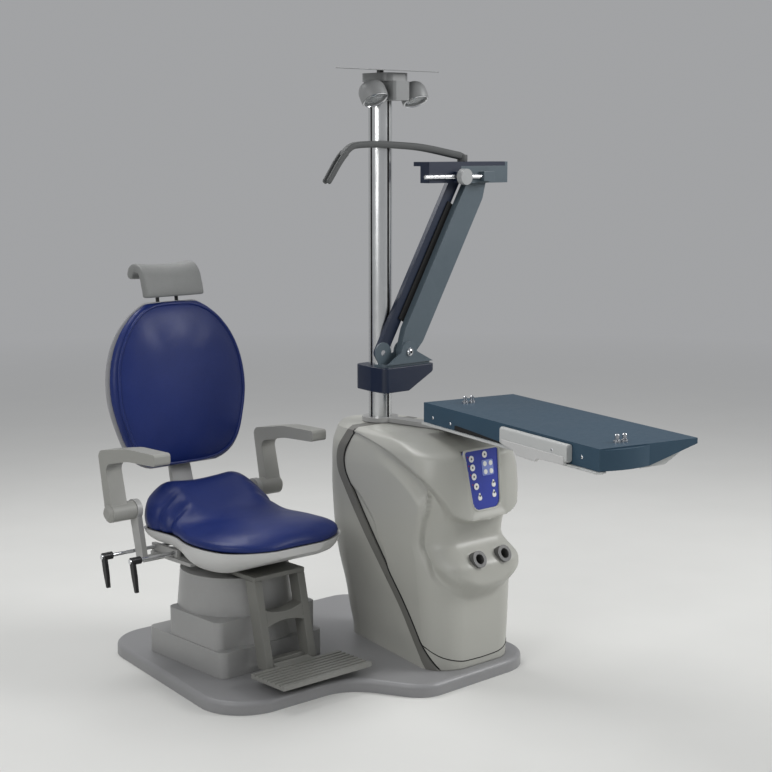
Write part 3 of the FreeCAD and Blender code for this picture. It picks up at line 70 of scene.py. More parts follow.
class Field:
    __add__ = arithmetic("ADD")
    __sub__ = arithmetic("SUBTRACT")
    __mul__ = arithmetic("MULTIPLY")
    __pow__ = arithmetic("POWER")

    def __init__(self, tree, socket):
        self.tree = tree
        self.socket = socket

    def __rsub__(self, number):
        return self.make("ShaderNodeMath", number, self, operation="SUBTRACT")

    def make(self, kind, *values, out=0, **settings):
        """A new node. The values feed its inputs in order, and None leaves an input alone."""
        node = self.tree.nodes.new(kind)
        for name, value in settings.items():
            setattr(node, name, value)
        for index, value in enumerate(values):
            if isinstance(value, Field):
                self.tree.links.new(value.socket, node.inputs[index])
            elif value is not None:
                node.inputs[index].default_value = value
        return Field(self.tree, node.outputs[out])

    def stretch(self, x, y, z):
        return self.make("ShaderNodeVectorMath", self, (x, y, z), operation="MULTIPLY")

    def axis(self, index):
        return self.make("ShaderNodeSeparateXYZ", self, out=index)

    def noise(self, scale, detail=3, rough=0.5):
        return self.make("ShaderNodeTexNoise", self, None, scale, detail, rough)

    def cells(self, scale, feature="F1", random=1):
        return self.make("ShaderNodeTexVoronoi", self, None, scale, *[None] * 5, random, feature=feature)

    def ramp(self, low, high):
        return self.make("ShaderNodeMapRange", self, low, high, 0, 1)

    def blend(self, first, second):
        return self.make("ShaderNodeMix", self, *[None] * 5, first, second, out=2, data_type="RGBA")


def shade(rgb, factor):
    return tuple(min(part * factor, 1) for part in rgb) + (1,)


class Surface:
    """A Principled material on object coordinates, with named constants set on the shader itself."""

    def __init__(self, name, **constants):
        self.material = bpy.data.materials.new(name)
        self.material.use_nodes = True
        self.tree = self.material.node_tree
        self.shader = next(n for n in self.tree.nodes if n.type == "BSDF_PRINCIPLED")
        coords = self.tree.nodes.new("ShaderNodeTexCoord")
        self.place = Field(self.tree, coords.outputs["Object"])
        for key, value in constants.items():
            self.shader.inputs[key.replace("_", " ").title().replace("Ior", "IOR")].default_value = value

    def link(self, name, field):
        self.tree.links.new(field.socket, self.shader.inputs[name])

    def dress(self, rgb, tone, low, high, rough, height, strength, distance):
        """Shade rgb between two factors by tone, set the gloss and raise the surface by height."""
        self.link("Base Color", tone.blend(shade(rgb, low), shade(rgb, high)))
        self.link("Roughness", rough)
        bump = self.tree.nodes.new("ShaderNodeBump")
        bump.inputs["Strength"].default_value = strength
        bump.inputs["Distance"].default_value = distance
        self.tree.links.new(height.socket, bump.inputs["Height"])
        self.tree.links.new(bump.outputs["Normal"], self.shader.inputs["Normal"])
        return self.material


print("shader fields ready")

# %% [markdown]
# ## Materials
# Six families cover the unit: painted metal, moulded plastic, leather, bright metal, rubber and glass.
# Each one varies its colour a little, its gloss more, and its surface at the scale of the real finish.


# %% Material families
def painted(name, rgb, rough=0.38, peel=900, coat=0.15, gloss=0.5):
    skin = Surface(name, coat_roughness=0.25, specular_ior_level=gloss)
    place = skin.place
    cloud = place.noise(7, 4)
    dust = place.noise(60, 5, 0.65)
    scuff = place.stretch(1, 1, 4).noise(38, 8, 0.7).ramp(0.62, 0.74)
    skin.link("Coat Weight", cloud * coat)
    tone = cloud * 0.6 + dust * 0.4 + scuff * 0.25
    rough = dust * 0.16 + cloud * 0.1 + scuff * 0.12 + (rough - 0.13)
    height = place.noise(peel, 2) + place.noise(peel * 0.22, 2) * 1.4
    return skin.dress(rgb, tone, 0.88, 1.12, rough, height, 0.1, 0.0004)


def moulded(name, rgb, rough=0.42, grain=1400, depth=0.16, drift=0.06):
    skin = Surface(name)
    place = skin.place
    fine = place.noise(220, 4, 0.6)
    rub = place.noise(21, 6, 0.72).ramp(0.55, 0.8)
    tone = place.noise(5, 3) * 0.7 + fine * 0.3
    rough = fine * 0.14 + (rough - 0.07) - rub * 0.1
    height = place.cells(grain, "SMOOTH_F1") + place.noise(grain * 0.5, 2) * 0.7
    return skin.dress(rgb, tone, 1 - drift, 1 + drift, rough, height, depth, 0.0003)


def leather(name, rgb, rough, grain, coat):
    skin = Surface(name, coat_roughness=0.3, specular_ior_level=0.3)
    place = skin.place
    pebble = place.cells(grain, "F1", 0.9)
    crease = place.cells(grain * 0.55, "DISTANCE_TO_EDGE", 1).ramp(0, 0.16)
    worn = place.noise(14, 5, 0.6)
    skin.link("Coat Weight", worn * coat)
    tone = place.noise(6, 4) * 0.45 + worn * 0.25 + crease * 0.3
    rough = worn * 0.18 + (rough - 0.11) + (1 - crease) * 0.1
    height = pebble * 0.5 + crease * 0.8 + place.noise(34, 3) * 1.3
    return skin.dress(rgb, tone, 0.62, 1.28, rough, height, 0.2, 0.0007)


def bright(name, rgb, rough, brush=(1, 1, 1), scale=240, depth=0.05):
    skin = Surface(name, metallic=1)
    line = skin.place.stretch(*brush).noise(scale, 4, 0.6)
    smudge = skin.place.noise(17, 5, 0.6)
    rough = line * 0.12 + smudge * 0.1 + (rough - 0.09)
    return skin.dress(rgb, smudge * 0.6 + line * 0.4, 0.86, 1.05, rough, line, depth, 0.0002)


def rubber(name, rgb, rough=0.75):
    skin = Surface(name)
    dust = skin.place.noise(90, 5, 0.7)
    rough = dust * 0.2 + (rough - 0.1)
    height = skin.place.noise(700, 3)
    return skin.dress(rgb, dust.ramp(0.35, 0.75), 0.8, 1.7, rough, height, 0.25, 0.0003)


def glass(name, rgb):
    skin = Surface(name, transmission_weight=0.85, ior=1.5)
    place = skin.place
    rough = place.noise(120, 4) * 0.1 + 0.02
    height = place.cells(260, "F1", 0)
    return skin.dress(rgb, place.noise(30), 0.92, 1, rough, height, 0.35, 0.0008)


print("six material families")

# %% The unit's own materials
DEEP_BLUE = (0.008, 0.021, 0.13)
# the first 24 are the slots of the record, the others belong to a few solids and small pieces
RECIPES = {
    "base_paint": (painted, (0.25, 0.25, 0.255), 0.42, 700),
    "pedestal_grey": (painted, (0.3, 0.3, 0.295), 0.36),
    "console_grey": (moulded, (0.41, 0.41, 0.375), 0.4, 1500, 0.12),
    "shell_grey": (moulded, (0.55, 0.55, 0.54), 0.42),
    "trim_grey": (moulded, (0.15, 0.148, 0.135), 0.4),
    "blue_leather": (leather, DEEP_BLUE, 0.38, 420, 0.1),
    "headrest_grey": (leather, (0.22, 0.225, 0.22), 0.46, 900, 0.05),
    "armrest_grey": (moulded, (0.29, 0.29, 0.27), 0.5, 900, 0.22),
    "chrome": (bright, (0.8, 0.81, 0.83), 0.1),
    "column_aluminium": (bright, (0.78, 0.79, 0.79), 0.22, (1, 1, 0.02), 420, 0.12),
    "arm_navy": (painted, (0.007, 0.014, 0.036), 0.4),
    "arm_blue_grey": (painted, (0.08, 0.108, 0.128), 0.38),
    "table_blue": (painted, (0.034, 0.07, 0.106), 0.46, 1200, 0.03, 0.25),
    "tray_grey": (moulded, (0.5, 0.51, 0.5), 0.38),
    "keypad_blue": (moulded, (0.03, 0.05, 0.33), 0.34, 2600, 0.08),
    "key_white": (moulded, (0.8, 0.8, 0.77), 0.32, 2600, 0.06, 0.03),
    "key_pad_pale": (moulded, (0.22, 0.28, 0.62), 0.34, 2600, 0.08),
    "black_plastic": (moulded, (0.012, 0.012, 0.013), 0.36),
    "dark_rubber": (rubber, (0.02, 0.02, 0.022)),
    "lens_glass": (glass, (0.92, 0.95, 0.97)),
    "lamp_grey": (painted, (0.22, 0.225, 0.225), 0.4),
    "inner_steel": (bright, (0.55, 0.55, 0.56), 0.34, (0.1, 1, 1), 300, 0.1),
    "frame_grey": (painted, (0.36, 0.36, 0.35), 0.4),
    "ribbed_grey": (painted, (0.22, 0.22, 0.205), 0.46),
    "pipe": (leather, DEEP_BLUE, 0.32, 700, 0.15),
    "hanger": (painted, (0.085, 0.088, 0.088), 0.6, 900, 0, 0.25),
    "knob": (painted, (0.36, 0.37, 0.37), 0.36),
    "stud": (bright, (0.62, 0.63, 0.65), 0.2),
    # a darker copy of the pedestal paint, painted shade on the footrest and the seat carrier
    "foot": (painted, (0.17, 0.17, 0.155), 0.44),
    "well": (moulded, (0.085, 0.085, 0.083), 0.34, 1800, 0.1),
    "red": (moulded, (0.42, 0.02, 0.02), 0.34, 2600, 0.05),
    # near-black for painted shade: shadow lines along gaps, and shade in slots, grooves, recesses and screw
    # sockets
    "gap": (rubber, (0.006, 0.006, 0.006), 0.85),
}
materials = {name: family(name, *values) for name, (family, *values) in RECIPES.items()}
print(len(materials), "materials")

# %% [markdown]
# ## Dress the solids
# Every solid takes the material of its slot in the record, apart from a few that have their own.

# %% Materials for the solids
# the footrest and the seat carrier take the darker paint as painted shade
own = {
    "refractor_hanger": "hanger", "footrest_frame": "foot", "seat_carrier": "foot",
    "instrument_wells": "well", "head_lock_knob": "knob", "chair_pins": "armrest_grey",
    "headrest_rods": "black_plastic", "table_studs": "stud",
}
material_of_node = {node: own.get(node, slot) for node, slot in slot_of_node.items()}
for node, obj in nodes.items():
    obj.data.materials.clear()
    obj.data.materials.append(materials[material_of_node[node]])
print("dressed", len(nodes), "solids")

# %% [markdown]
# ## Helpers for new pieces
# A piece is a mesh with its place in its vertices. It rides on a body. A stand-in is a
# piece that takes the place of a solid.


def link_object(name, data):
    obj = bpy.data.objects.new(name, data)
    scene.collection.objects.link(obj)
    return obj


def mesh_object(name, form):
    mesh = bpy.data.meshes.new(name)
    form.to_mesh(mesh)
    form.free()
    return link_object(name, mesh)


def add_piece(name, form, material, body, slot=None, smooth=40, closed=True):
    """A piece on a body, shaded smooth up to an angle. The slot is not used."""
    if closed:
        bmesh.ops.recalc_face_normals(form, faces=form.faces)
    obj = mesh_object(name, form)
    obj.data.materials.append(materials[material])
    obj.data.shade_smooth()
    obj.data.set_sharp_from_angle(angle=radians(smooth))
    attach(obj, body)
    return obj


def stand_in(name, form, node, smooth=40, closed=True):
    """A piece in place of a solid, with that solid's material and body."""
    places = (material_of_node[node], body_of_node[node], slot_of_node[node])
    obj = add_piece(name, form, *places, smooth, closed)
    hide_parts(node)
    return obj


def soften(obj, width, angle=35):
    bevel = obj.modifiers.new("Round", "BEVEL")
    bevel.width = width
    bevel.segments = 3
    bevel.limit_method = "ANGLE"
    bevel.angle_limit = radians(angle)
    bevel.harden_normals = True


def clean_copy(node):
    """The node's mesh with its split corners welded and its flat triangles merged."""
    form = bmesh.new()
    form.from_mesh(nodes[node].data)
    bmesh.ops.remove_doubles(form, verts=form.verts, dist=2e-5)
    bmesh.ops.dissolve_limit(form, angle_limit=radians(0.4), verts=form.verts, edges=form.edges)
    return form


def points_of(node):
    place = nodes[node].matrix_world
    return [place @ vertex.co for vertex in nodes[node].data.vertices]


def ends(points, axis):
    """The lowest and highest value of points along axis 0, 1 or 2."""
    values = [point[axis] for point in points]
    return min(values), max(values)


print("helpers for objects ready")


# %% Helpers for forms
def join_rings(form, first, second):
    """A band of faces between two rings of points."""
    for k in range(len(first)):
        after = (k + 1) % len(first)
        form.faces.new((first[k], first[after], second[after], second[k]))


def skin_rings(form, rings, capped=True):
    """A skin over a row of rings."""
    for first, second in zip(rings, rings[1:]):
        join_rings(form, first, second)
    if capped:
        form.faces.new(rings[0])
        form.faces.new(rings[-1])


def tube(form, points, radius, sides, closed):
    """A round cord along points, laid into form."""
    count = len(points)
    turns = [2 * pi * k / sides for k in range(sides)]
    rings = []
    side = None
    for index, point in enumerate(points):
        ahead = points[(index + 1) % count] if closed or index < count - 1 else point
        behind = points[index - 1] if closed or index > 0 else point
        along = (ahead - behind).normalized()
        side = along.orthogonal() if side is None else side - along * side.dot(along)
        side.normalize()
        other = along.cross(side)
        spots = [point + (side * cos(turn) + other * sin(turn)) * radius for turn in turns]
        rings.append([form.verts.new(spot) for spot in spots])
    skin_rings(form, rings, not closed)
    if closed:
        last, first = rings[-1], rings[0]
        shift = min(range(sides), key=lambda k: (last[0].co - first[k].co).length)
        join_rings(form, last, first[shift:] + first[:shift])


def lathe(form, profile, centre, axis, steps):
    """Spin a profile of (radius, height) about an axis through centre."""
    axis = Vector(axis).normalized()
    side = axis.orthogonal().normalized()
    verts = [form.verts.new(Vector(centre) + side * r + axis * h) for r, h in profile]
    edges = [form.edges.new(pair) for pair in zip(verts, verts[1:])]
    bmesh.ops.spin(form, geom=verts + edges, cent=centre, axis=axis, angle=2 * pi, steps=steps,
                   use_merge=True)
    bmesh.ops.remove_doubles(form, verts=form.verts, dist=1e-6)


def turned(profile, centre, axis, steps):
    form = bmesh.new()
    lathe(form, profile, centre, axis, steps)
    return form


def prism(form, outline, depth):
    """Fill a loop of points and push a copy of it along depth."""
    skin_rings(form, [[form.verts.new(point + push) for point in outline] for push in (Vector(), depth)])


def prism_piece(name, outline, depth, material, body, width):
    form = bmesh.new()
    prism(form, outline, depth)
    soften(add_piece(name, form, material, body), width)


def tube_piece(name, cords, radius, sides, closed, material, body):
    form = bmesh.new()
    for cord in cords:
        tube(form, cord, radius, sides, closed)
    add_piece(name, form, material, body)


def screw(name, place, axis, radius, body):
    """A domed screw, with a near-black hexagon on its dome as painted shade in its socket."""
    rise = radius * 0.45
    dome = [(0, rise), (radius * 0.5, rise * 0.92), (radius * 0.85, rise * 0.6), (radius, 0),
            (radius, -0.001), (0, -0.001)]
    add_piece(name, turned(dome, place, axis, 24), "chrome", body)
    # the socket is a near-black hexagon on the dome, painted shade
    lid = rise + 0.0002
    socket = [(0, lid), (radius * 0.4, lid), (radius * 0.4, rise * 0.5), (0, rise * 0.5)]
    add_piece(name + "_socket_shade", turned(socket, place, axis, 6), "gap", body)


print("helpers for forms ready")

# %% Helpers for curves
CORNER_STEPS = 8


def shares(steps):
    """Even shares from 0 to 1."""
    return [k / steps for k in range(steps + 1)]


def rounded_loop(corners):
    """Points of a closed outline whose corners (a, b, radius) are arcs."""
    loop = []
    count = len(corners)
    for index, (a, b, radius) in enumerate(corners):
        here = Vector((a, b))
        before = (Vector(corners[index - 1][:2]) - here).normalized()
        after = (Vector(corners[(index + 1) % count][:2]) - here).normalized()
        half = before.angle(after) / 2
        centre = here + (before + after).normalized() * (radius / sin(half))
        start = here + before * (radius / tan(half)) - centre
        end = here + after * (radius / tan(half)) - centre
        sweep = start.angle_signed(end)
        loop += [centre + Matrix.Rotation(-sweep * share, 2) @ start for share in shares(CORNER_STEPS)]
    return loop


def ease(low, high, value):
    t = min(max((value - low) / (high - low), 0), 1)
    return t * t * (3 - 2 * t)


def through(points, t):
    """A smooth curve through points (t, value) that never overshoots them."""
    last = len(points) - 1
    t = min(max(t, points[0][0]), points[last][0])
    index = max(k for k in range(last) if points[k][0] <= t)

    def slope(k):
        return (points[k + 1][1] - points[k][1]) / (points[k + 1][0] - points[k][0])

    def tangent(k):
        if k == 0 or k == last:
            return slope(min(k, last - 1))
        before, after = slope(k - 1), slope(k)
        return 0 if before * after <= 0 else 2 * before * after / (before + after)

    width = points[index + 1][0] - points[index][0]
    u = (t - points[index][0]) / width
    rise = points[index][1] * (1 + 2 * u) * (1 - u) ** 2 + points[index + 1][1] * u * u * (3 - 2 * u)
    return rise + width * (tangent(index) * u * (1 - u) ** 2 + tangent(index + 1) * u * u * (u - 1))


print("helpers for curves ready")

# %% [markdown]
# ## Console skin
# The front of the console is one flowing moulding: a hood over the keypad, a valley under it, a nose that
# carries the wells and a crease along the trim. The solid's own levels give the main form. Lines drawn on
# the unrolled skin say where the relief starts, and pairs of values say where each part of it fades.

# %% Levels of the console
BASE_TOP = 0.04
CONSOLE_TOP = 0.757
CONSOLE_HALF = 0.195
CONSOLE_REACH = 0.5
CONSOLE_REAR = 0.16
# height, rear half width, rear depth, half width, front and corner, as shares of the sizes above
LEVELS = [
    (0, 0.46, 0.56, 0.86, 0.95, 0.5), (0.0925, 0.5, 0.61, 0.875, 0.952, 0.5),
    (0.185, 0.56, 0.68, 0.89, 0.955, 0.5), (0.278, 0.63, 0.75, 0.91, 0.955, 0.51),
    (0.37, 0.71, 0.84, 0.94, 0.955, 0.53), (0.463, 0.77, 0.91, 0.958, 0.955, 0.55),
    (0.555, 0.805, 0.95, 0.956, 0.905, 0.52), (0.648, 0.82, 0.98, 0.965, 0.925, 0.5),
    (0.74, 0.82, 1, 0.975, 0.972, 0.5), (0.838, 0.815, 1, 0.975, 0.97, 0.5),
    (0.936, 0.77, 0.95, 0.93, 0.92, 0.5), (0.983, 0.7, 0.88, 0.8, 0.72, 0.46),
    (1, 0.62, 0.8, 0.66, 0.5, 0.4),
]
LEVEL_COLUMNS = [[(row[0], row[k]) for row in LEVELS] for k in range(1, 6)]
FRONT_COLUMN = LEVEL_COLUMNS[3]
ARC_STEPS = 16
REAR_STEPS = 8
# front edge of the trim: a straight run up, a bend and a run that leans forward to the top
TRIM_FOOT = -0.47
TRIM_KNEE = 0.016
KNEE_HEIGHT = 0.64
TOP_LEAN = 0.062 / 0.122
BEND_LOW = 0.5954
BEND_HIGH = 0.69
BEND_Y = -0.0896
BEND_Z = 0.6498
BEND_RADIUS = 0.09


def level_share(z):
    return (z - BASE_TOP) / (CONSOLE_TOP - BASE_TOP)


def trim_front(z):
    """Where the trim starts, front to back: two straight runs and the bend between them."""
    if z < BEND_LOW:
        return TRIM_FOOT + (TRIM_KNEE - TRIM_FOOT) * z / KNEE_HEIGHT
    if z < BEND_HIGH:
        return BEND_Y + sqrt(BEND_RADIUS ** 2 - (z - BEND_Z) ** 2)
    return TRIM_KNEE - TOP_LEAN * (z - KNEE_HEIGHT)


def console_half(z):
    """The outline at a height, from the front middle round the left side to the trim."""
    rear_half, rear, half, front, corner = [through(column, level_share(z)) for column in LEVEL_COLUMNS]
    rear_x = CONSOLE_HALF * rear_half
    rear_y = CONSOLE_REAR * rear
    side_x = CONSOLE_HALF * half
    front_y = -CONSOLE_REACH * front
    radius = CONSOLE_HALF * corner
    points = [(0, front_y)]
    for share in shares(ARC_STEPS):
        turn = pi / 2 * share
        x = -(side_x - radius) - radius * sin(turn)
        points.append((x, front_y + radius - radius * cos(turn)))
    points.append((-rear_x, 0))
    bow = (rear_x * rear_x + rear_y * rear_y) / (2 * rear_y)
    for k in range(1, REAR_STEPS + 1):
        y = 0.005 * k
        points.append((-sqrt(bow * bow - (y - rear_y + bow) ** 2), y))
    end = trim_front(z) - 0.004
    kept = [points[0]]
    for here, after in zip(points, points[1:]):
        if after[1] >= end:
            part = (end - here[1]) / (after[1] - here[1])
            kept.append((here[0] + (after[0] - here[0]) * part, end))
            break
        kept.append(after)
    return [Vector(point) for point in kept]


def outline_length(outline):
    return sum((after - here).length for here, after in zip(outline, outline[1:]))


print("console levels:", len(LEVELS))

# %% Keypad and wells on the console
PANEL_LEAN = radians(9)
PANEL_PLACE = Vector((0, -0.488, 0.636))
PANEL_RISE = 0.094
PANEL_TOP_HALF = ends(points_of("keypad_panel"), 0)[1]
PANEL_LOW_HALF = PANEL_TOP_HALF * 0.79
PANEL_TOP_RADIUS = 0.012
PANEL_LOW_RADIUS = 0.03
WELL_TILT = radians(64)
WELL_AXIS = Vector((0, -sin(WELL_TILT), cos(WELL_TILT)))
WELL_CENTRES = [Vector((side * 0.055, -0.513, CONSOLE_TOP * 0.52)) for side in (-1, 1)]


def on_panel(x, depth, up):
    return PANEL_PLACE + Vector((x, depth * cos(PANEL_LEAN) + up * sin(PANEL_LEAN),
                                 up * cos(PANEL_LEAN) - depth * sin(PANEL_LEAN)))


def up_panel(point):
    out = point - PANEL_PLACE
    return out.y * sin(PANEL_LEAN) + out.z * cos(PANEL_LEAN)


def panel_half(up):
    share = (up + PANEL_RISE) / (2 * PANEL_RISE)
    return PANEL_LOW_HALF + (PANEL_TOP_HALF - PANEL_LOW_HALF) * share


def in_opening(point):
    """True inside the keypad's opening or a well."""
    up = up_panel(point)
    radius = PANEL_TOP_RADIUS if up > 0 else PANEL_LOW_RADIUS
    over_x = max(abs(point.x) - panel_half(up) + radius, 0)
    over_z = max(abs(up) - PANEL_RISE + radius, 0)
    if hypot(over_x, over_z) < radius - 0.001 and point.y < -0.4:
        return True
    for centre in WELL_CENTRES:
        out = point - centre
        if (out - WELL_AXIS * out.dot(WELL_AXIS)).length < 0.0235 and point.y < -0.42:
            return True
    return False


print("keypad is", round(2 * PANEL_TOP_HALF, 3), "m wide at the top")

# %% Relief of the console
# lines on the skin: distance round from the front middle, and height
HOOD_LINE = [(0, 0.5), (0.07, 0.505), (0.127, 0.529), (0.156, 0.572), (0.19, 0.612), (0.231, 0.647),
             (0.308, 0.681), (0.39, 0.712), (0.45, 0.733), (0.55, 0.745)]
RIDGE_LINE = [(0, 0.248), (0.04, 0.25), (0.116, 0.281), (0.184, 0.326), (0.212, 0.381),
              (0.218, 0.445), (0.226, 0.503), (0.26, 0.568), (0.342, 0.623), (0.412, 0.652), (0.5, 0.672)]
CREASE_LINE = [(0.33, 0.15), (0.344, 0.224), (0.384, 0.314), (0.407, 0.389), (0.43, 0.463),
               (0.497, 0.523), (0.563, 0.561), (0.625, 0.588)]
SPLIT_LINE = [(0, 0.062), (0.061, 0.064), (0.14, 0.08), (0.216, 0.114), (0.298, 0.147)]
SLOPE_STEP = 0.004
LID_FADE = (0.7, 0.735)
RECESS_DIP = 0.006
RECESS_EDGE = (-0.002, 0.026)
SIDE_LIFT = 0.012
SIDE_START = (0.09, 0.24)
SIDE_END = (0.38, 0.6)
HOOD_EDGE = (-0.003, 0.013)
VALLEY_DEPTH = 0.024
VALLEY_FOOT = (0, 0.03)
VALLEY_HEAD = (-0.03, 0)
VALLEY_START = (0.08, 0.2)
VALLEY_END = (0.27, 0.47)
NOSE_REACH = 0.046
NOSE_FOOT = (0, 0.07)
NOSE_HEAD = (0.365, 0.45)
NOSE_END = (0.11, 0.225)
CREASE_DEPTH = 0.006
CREASE_EDGE = (0, 0.014)
CREASE_START = (0.33, 0.35)


def off_line(points, s, z):
    """How far a spot of the skin lies above a line, measured square to the line."""
    slope = (through(points, s + SLOPE_STEP) - through(points, s - SLOPE_STEP)) / (2 * SLOPE_STEP)
    return (z - through(points, s)) / hypot(1, slope)


def hood_relief(s, z, above):
    """The flat for the keypad with its recess, which runs out into a low swelling at the side."""
    front = CONSOLE_REACH * through(FRONT_COLUMN, level_share(z))
    panel = -PANEL_PLACE.y + (PANEL_PLACE.z - z) * tan(PANEL_LEAN) + 0.001
    lift = max(panel - front, 0) * (1 - ease(*LID_FADE, z))
    up = (z - PANEL_PLACE.z) / cos(PANEL_LEAN)
    outside = max(s - panel_half(up), abs(up) - PANEL_RISE)
    lift -= RECESS_DIP * (1 - ease(*RECESS_EDGE, outside))
    aside = ease(*SIDE_START, s)
    lift = lift * (1 - aside) + SIDE_LIFT * aside * (1 - ease(*SIDE_END, s))
    return lift * ease(*HOOD_EDGE, above)


def relief(s, z):
    """How far the skin stands off the plain level form, s along the outline from the front middle."""
    above = z - through(HOOD_LINE, s)
    over = z - through(RIDGE_LINE, s)
    valley = ease(*VALLEY_FOOT, off_line(RIDGE_LINE, s, z)) * (1 - ease(*VALLEY_HEAD, above))
    valley *= ease(*VALLEY_START, s) * (1 - ease(*VALLEY_END, s)) * VALLEY_DEPTH
    nose = ease(*NOSE_FOOT, over) * (1 - ease(*NOSE_HEAD, z)) * NOSE_REACH
    nose *= 1 - ease(*NOSE_END, s)
    crease = ease(*CREASE_EDGE, -off_line(CREASE_LINE, s, z)) * ease(*CREASE_START, s)
    return hood_relief(s, z, above) + nose - valley - crease * CREASE_DEPTH


def skin_point(outline, s, z, side=-1):
    """A point of the skin at distance s along the outline, on the left (-1) or the right (1)."""
    left = s
    for here, after in zip(outline, outline[1:]):
        length = (after - here).length
        if left <= length or after is outline[-1]:
            along = (after - here) / length
            spot = here + along * min(left, length)
            off = relief(s, z)
            return Vector((-side * (spot.x - along.y * off), spot.y + along.x * off, z))
        left -= length


print("relief ready")

# %% Console skin
COLUMNS = 104
ROWS = 128
ROW_STEP = 0.0053
TOP_ROWS = 22
LID_ROWS = 6
heights = [BASE_TOP + ROW_STEP * k for k in range(ROWS)]
heights += [heights[-1] + (CONSOLE_TOP - heights[-1]) * share for share in shares(TOP_ROWS)[1:]]
rows = []
for z in heights:
    outline = console_half(z)
    reach = outline_length(outline)
    spots = [skin_point(outline, reach * share, z) for share in shares(COLUMNS)]
    mirrored = [Vector((-spot.x, spot.y, spot.z)) for spot in reversed(spots[1:])]
    rows.append(mirrored + spots)
top_row = rows[-1]
lid_middle = Vector((0, top_row[0].y, CONSOLE_TOP))
for k in range(1, LID_ROWS + 1):
    rows.append([spot.lerp(lid_middle, k / 6.5) for spot in top_row])
form = bmesh.new()
grid = [[form.verts.new(spot) for spot in row] for row in rows]
for low, high in zip(grid, grid[1:]):
    for k in range(len(low) - 1):
        corners = (low[k], low[k + 1], high[k + 1], high[k])
        if not in_opening((corners[0].co + corners[2].co) / 2):
            form.faces.new(corners)
form.faces.new(grid[-1])
form.normal_update()
front_face = min(form.faces, key=lambda face: face.calc_center_median().y)
if front_face.normal.y > 0:
    bmesh.ops.reverse_faces(form, faces=form.faces)
bmesh.ops.delete(form, geom=[v for v in form.verts if not v.link_faces], context="VERTS")
cover = stand_in("console_front_skin", form, "console_front_cover", 60, False)
wall = cover.modifiers.new("Wall", "SOLIDIFY")
wall.thickness = 0.004
wall.offset = -1
print("console skin", len(cover.data.polygons), "faces")

# %% Rim of the keypad, and painted shadow lines along the split line and the trim
SPLIT_STEPS = 60
SHADOW_LINE_STEPS = 89
corners = [(-PANEL_TOP_HALF, PANEL_RISE, PANEL_TOP_RADIUS),
           (-PANEL_LOW_HALF, -PANEL_RISE, PANEL_LOW_RADIUS),
           (PANEL_LOW_HALF, -PANEL_RISE, PANEL_LOW_RADIUS),
           (PANEL_TOP_HALF, PANEL_RISE, PANEL_TOP_RADIUS)]
rim = [on_panel(a * 1.015, 0.0075, b * 1.012) for a, b in rounded_loop(corners)]
tube_piece("keypad_rim", [rim], 0.0042, 14, True, "console_grey", "unit")
# a near-black cord along the split line of the cover, a painted shadow line
split = []
for k in range(-SPLIT_STEPS, SPLIT_STEPS + 1):
    s = 0.285 * abs(k) / SPLIT_STEPS
    z = through(SPLIT_LINE, s)
    split.append(skin_point(console_half(z), s, z, -1 if k < 0 else 1))
tube_piece("console_split_shadow_line", [split], 0.0016, 8, False, "gap", "unit")
# near-black cords along the front edge of the trim on both sides, painted shadow lines
shadow_lines = [[], []]
for share in shares(SHADOW_LINE_STEPS):
    z = 0.046 + 0.705 * share
    outline = console_half(z)
    for shadow_line, side in zip(shadow_lines, (-1, 1)):
        shadow_line.append(skin_point(outline, outline_length(outline), z, side) + Vector((0, 0.002, 0)))
tube_piece("console_trim_shadow_line", shadow_lines, 0.0026, 8, False, "gap", "unit")
print("rim, split line and trim seams")

# %% [markdown]
# ## Rounded edges and footrest
# Castings and mouldings have no knife edges. The hard-edged solids get copies with small radii, so the
# light runs along their edges. The footrest is a slimmer ladder than its solid, with a bowed cross bar.

# %% Round the castings and mouldings
BEVEL_ANGLE = 32
SHARP_ANGLE = 30
edge_radius = {
    "armrest_right": 0.013, "armrest_left": 0.013, "pedestal_cover": 0.008, "table_top": 0.004,
    "table_tray": 0.0025, "table_lock_handle": 0.003, "arm_collar": 0.006, "arm_clevis": 0.0015,
    "arm_link": 0.003, "arm_rear_link": 0.0025, "arm_head": 0.003, "head_ear": 0.005,
    "lamp_bracket": 0.012, "recline_lever_handle": 0.003, "swivel_lever_handle": 0.003,
    "seat_frame": 0.0025, "backrest_bracket": 0.0025, "table_arm": 0.003, "projector_plate": 0.0008,
}
for node, width in edge_radius.items():
    soften(stand_in(node + "_soft", clean_copy(node), node, SHARP_ANGLE), width, BEVEL_ANGLE)
print("rounded", len(edge_radius), "solids")

# %% Footrest ladder
CHAIR_X = -0.5
LADDER_HALF = 0.098
STILE_WIDTH = 0.028
LADDER_DEPTH = 0.048
INNER_HALF = LADDER_HALF - STILE_WIDTH
RUNG_LOW = 0.193
RUNG_HIGH = 0.245
RUNG_BOW = 0.013
RUNG_STEPS = 24
OVERLAP = 0.001
# height above the ladder's foot and distance back, round the section of the bar at the foot
FOOT_BAR = [(0.0005, 0.0225), (0.0005, 0.047), (0.024, 0.047), (0.024, 0.0225)]
ladder_points = points_of("footrest_frame")
ladder_low, ladder_high = ends(ladder_points, 2)
foot_front = ends(ladder_points, 1)[0]
top_front = min(point.y for point in ladder_points if point.z > ladder_high - 0.001)


def on_ladder(x, z, back):
    """A point of the leaning ladder, back from its front face."""
    share = (z - ladder_low) / (ladder_high - ladder_low)
    return Vector((CHAIR_X + x, foot_front + (top_front - foot_front) * share + back, z))


def ladder_section(x, low, high):
    """Four corners of an upright section through the ladder."""
    spots = ((low, 0), (low, LADDER_DEPTH), (high, LADDER_DEPTH), (high, 0))
    return [on_ladder(x, z, back) for z, back in spots]


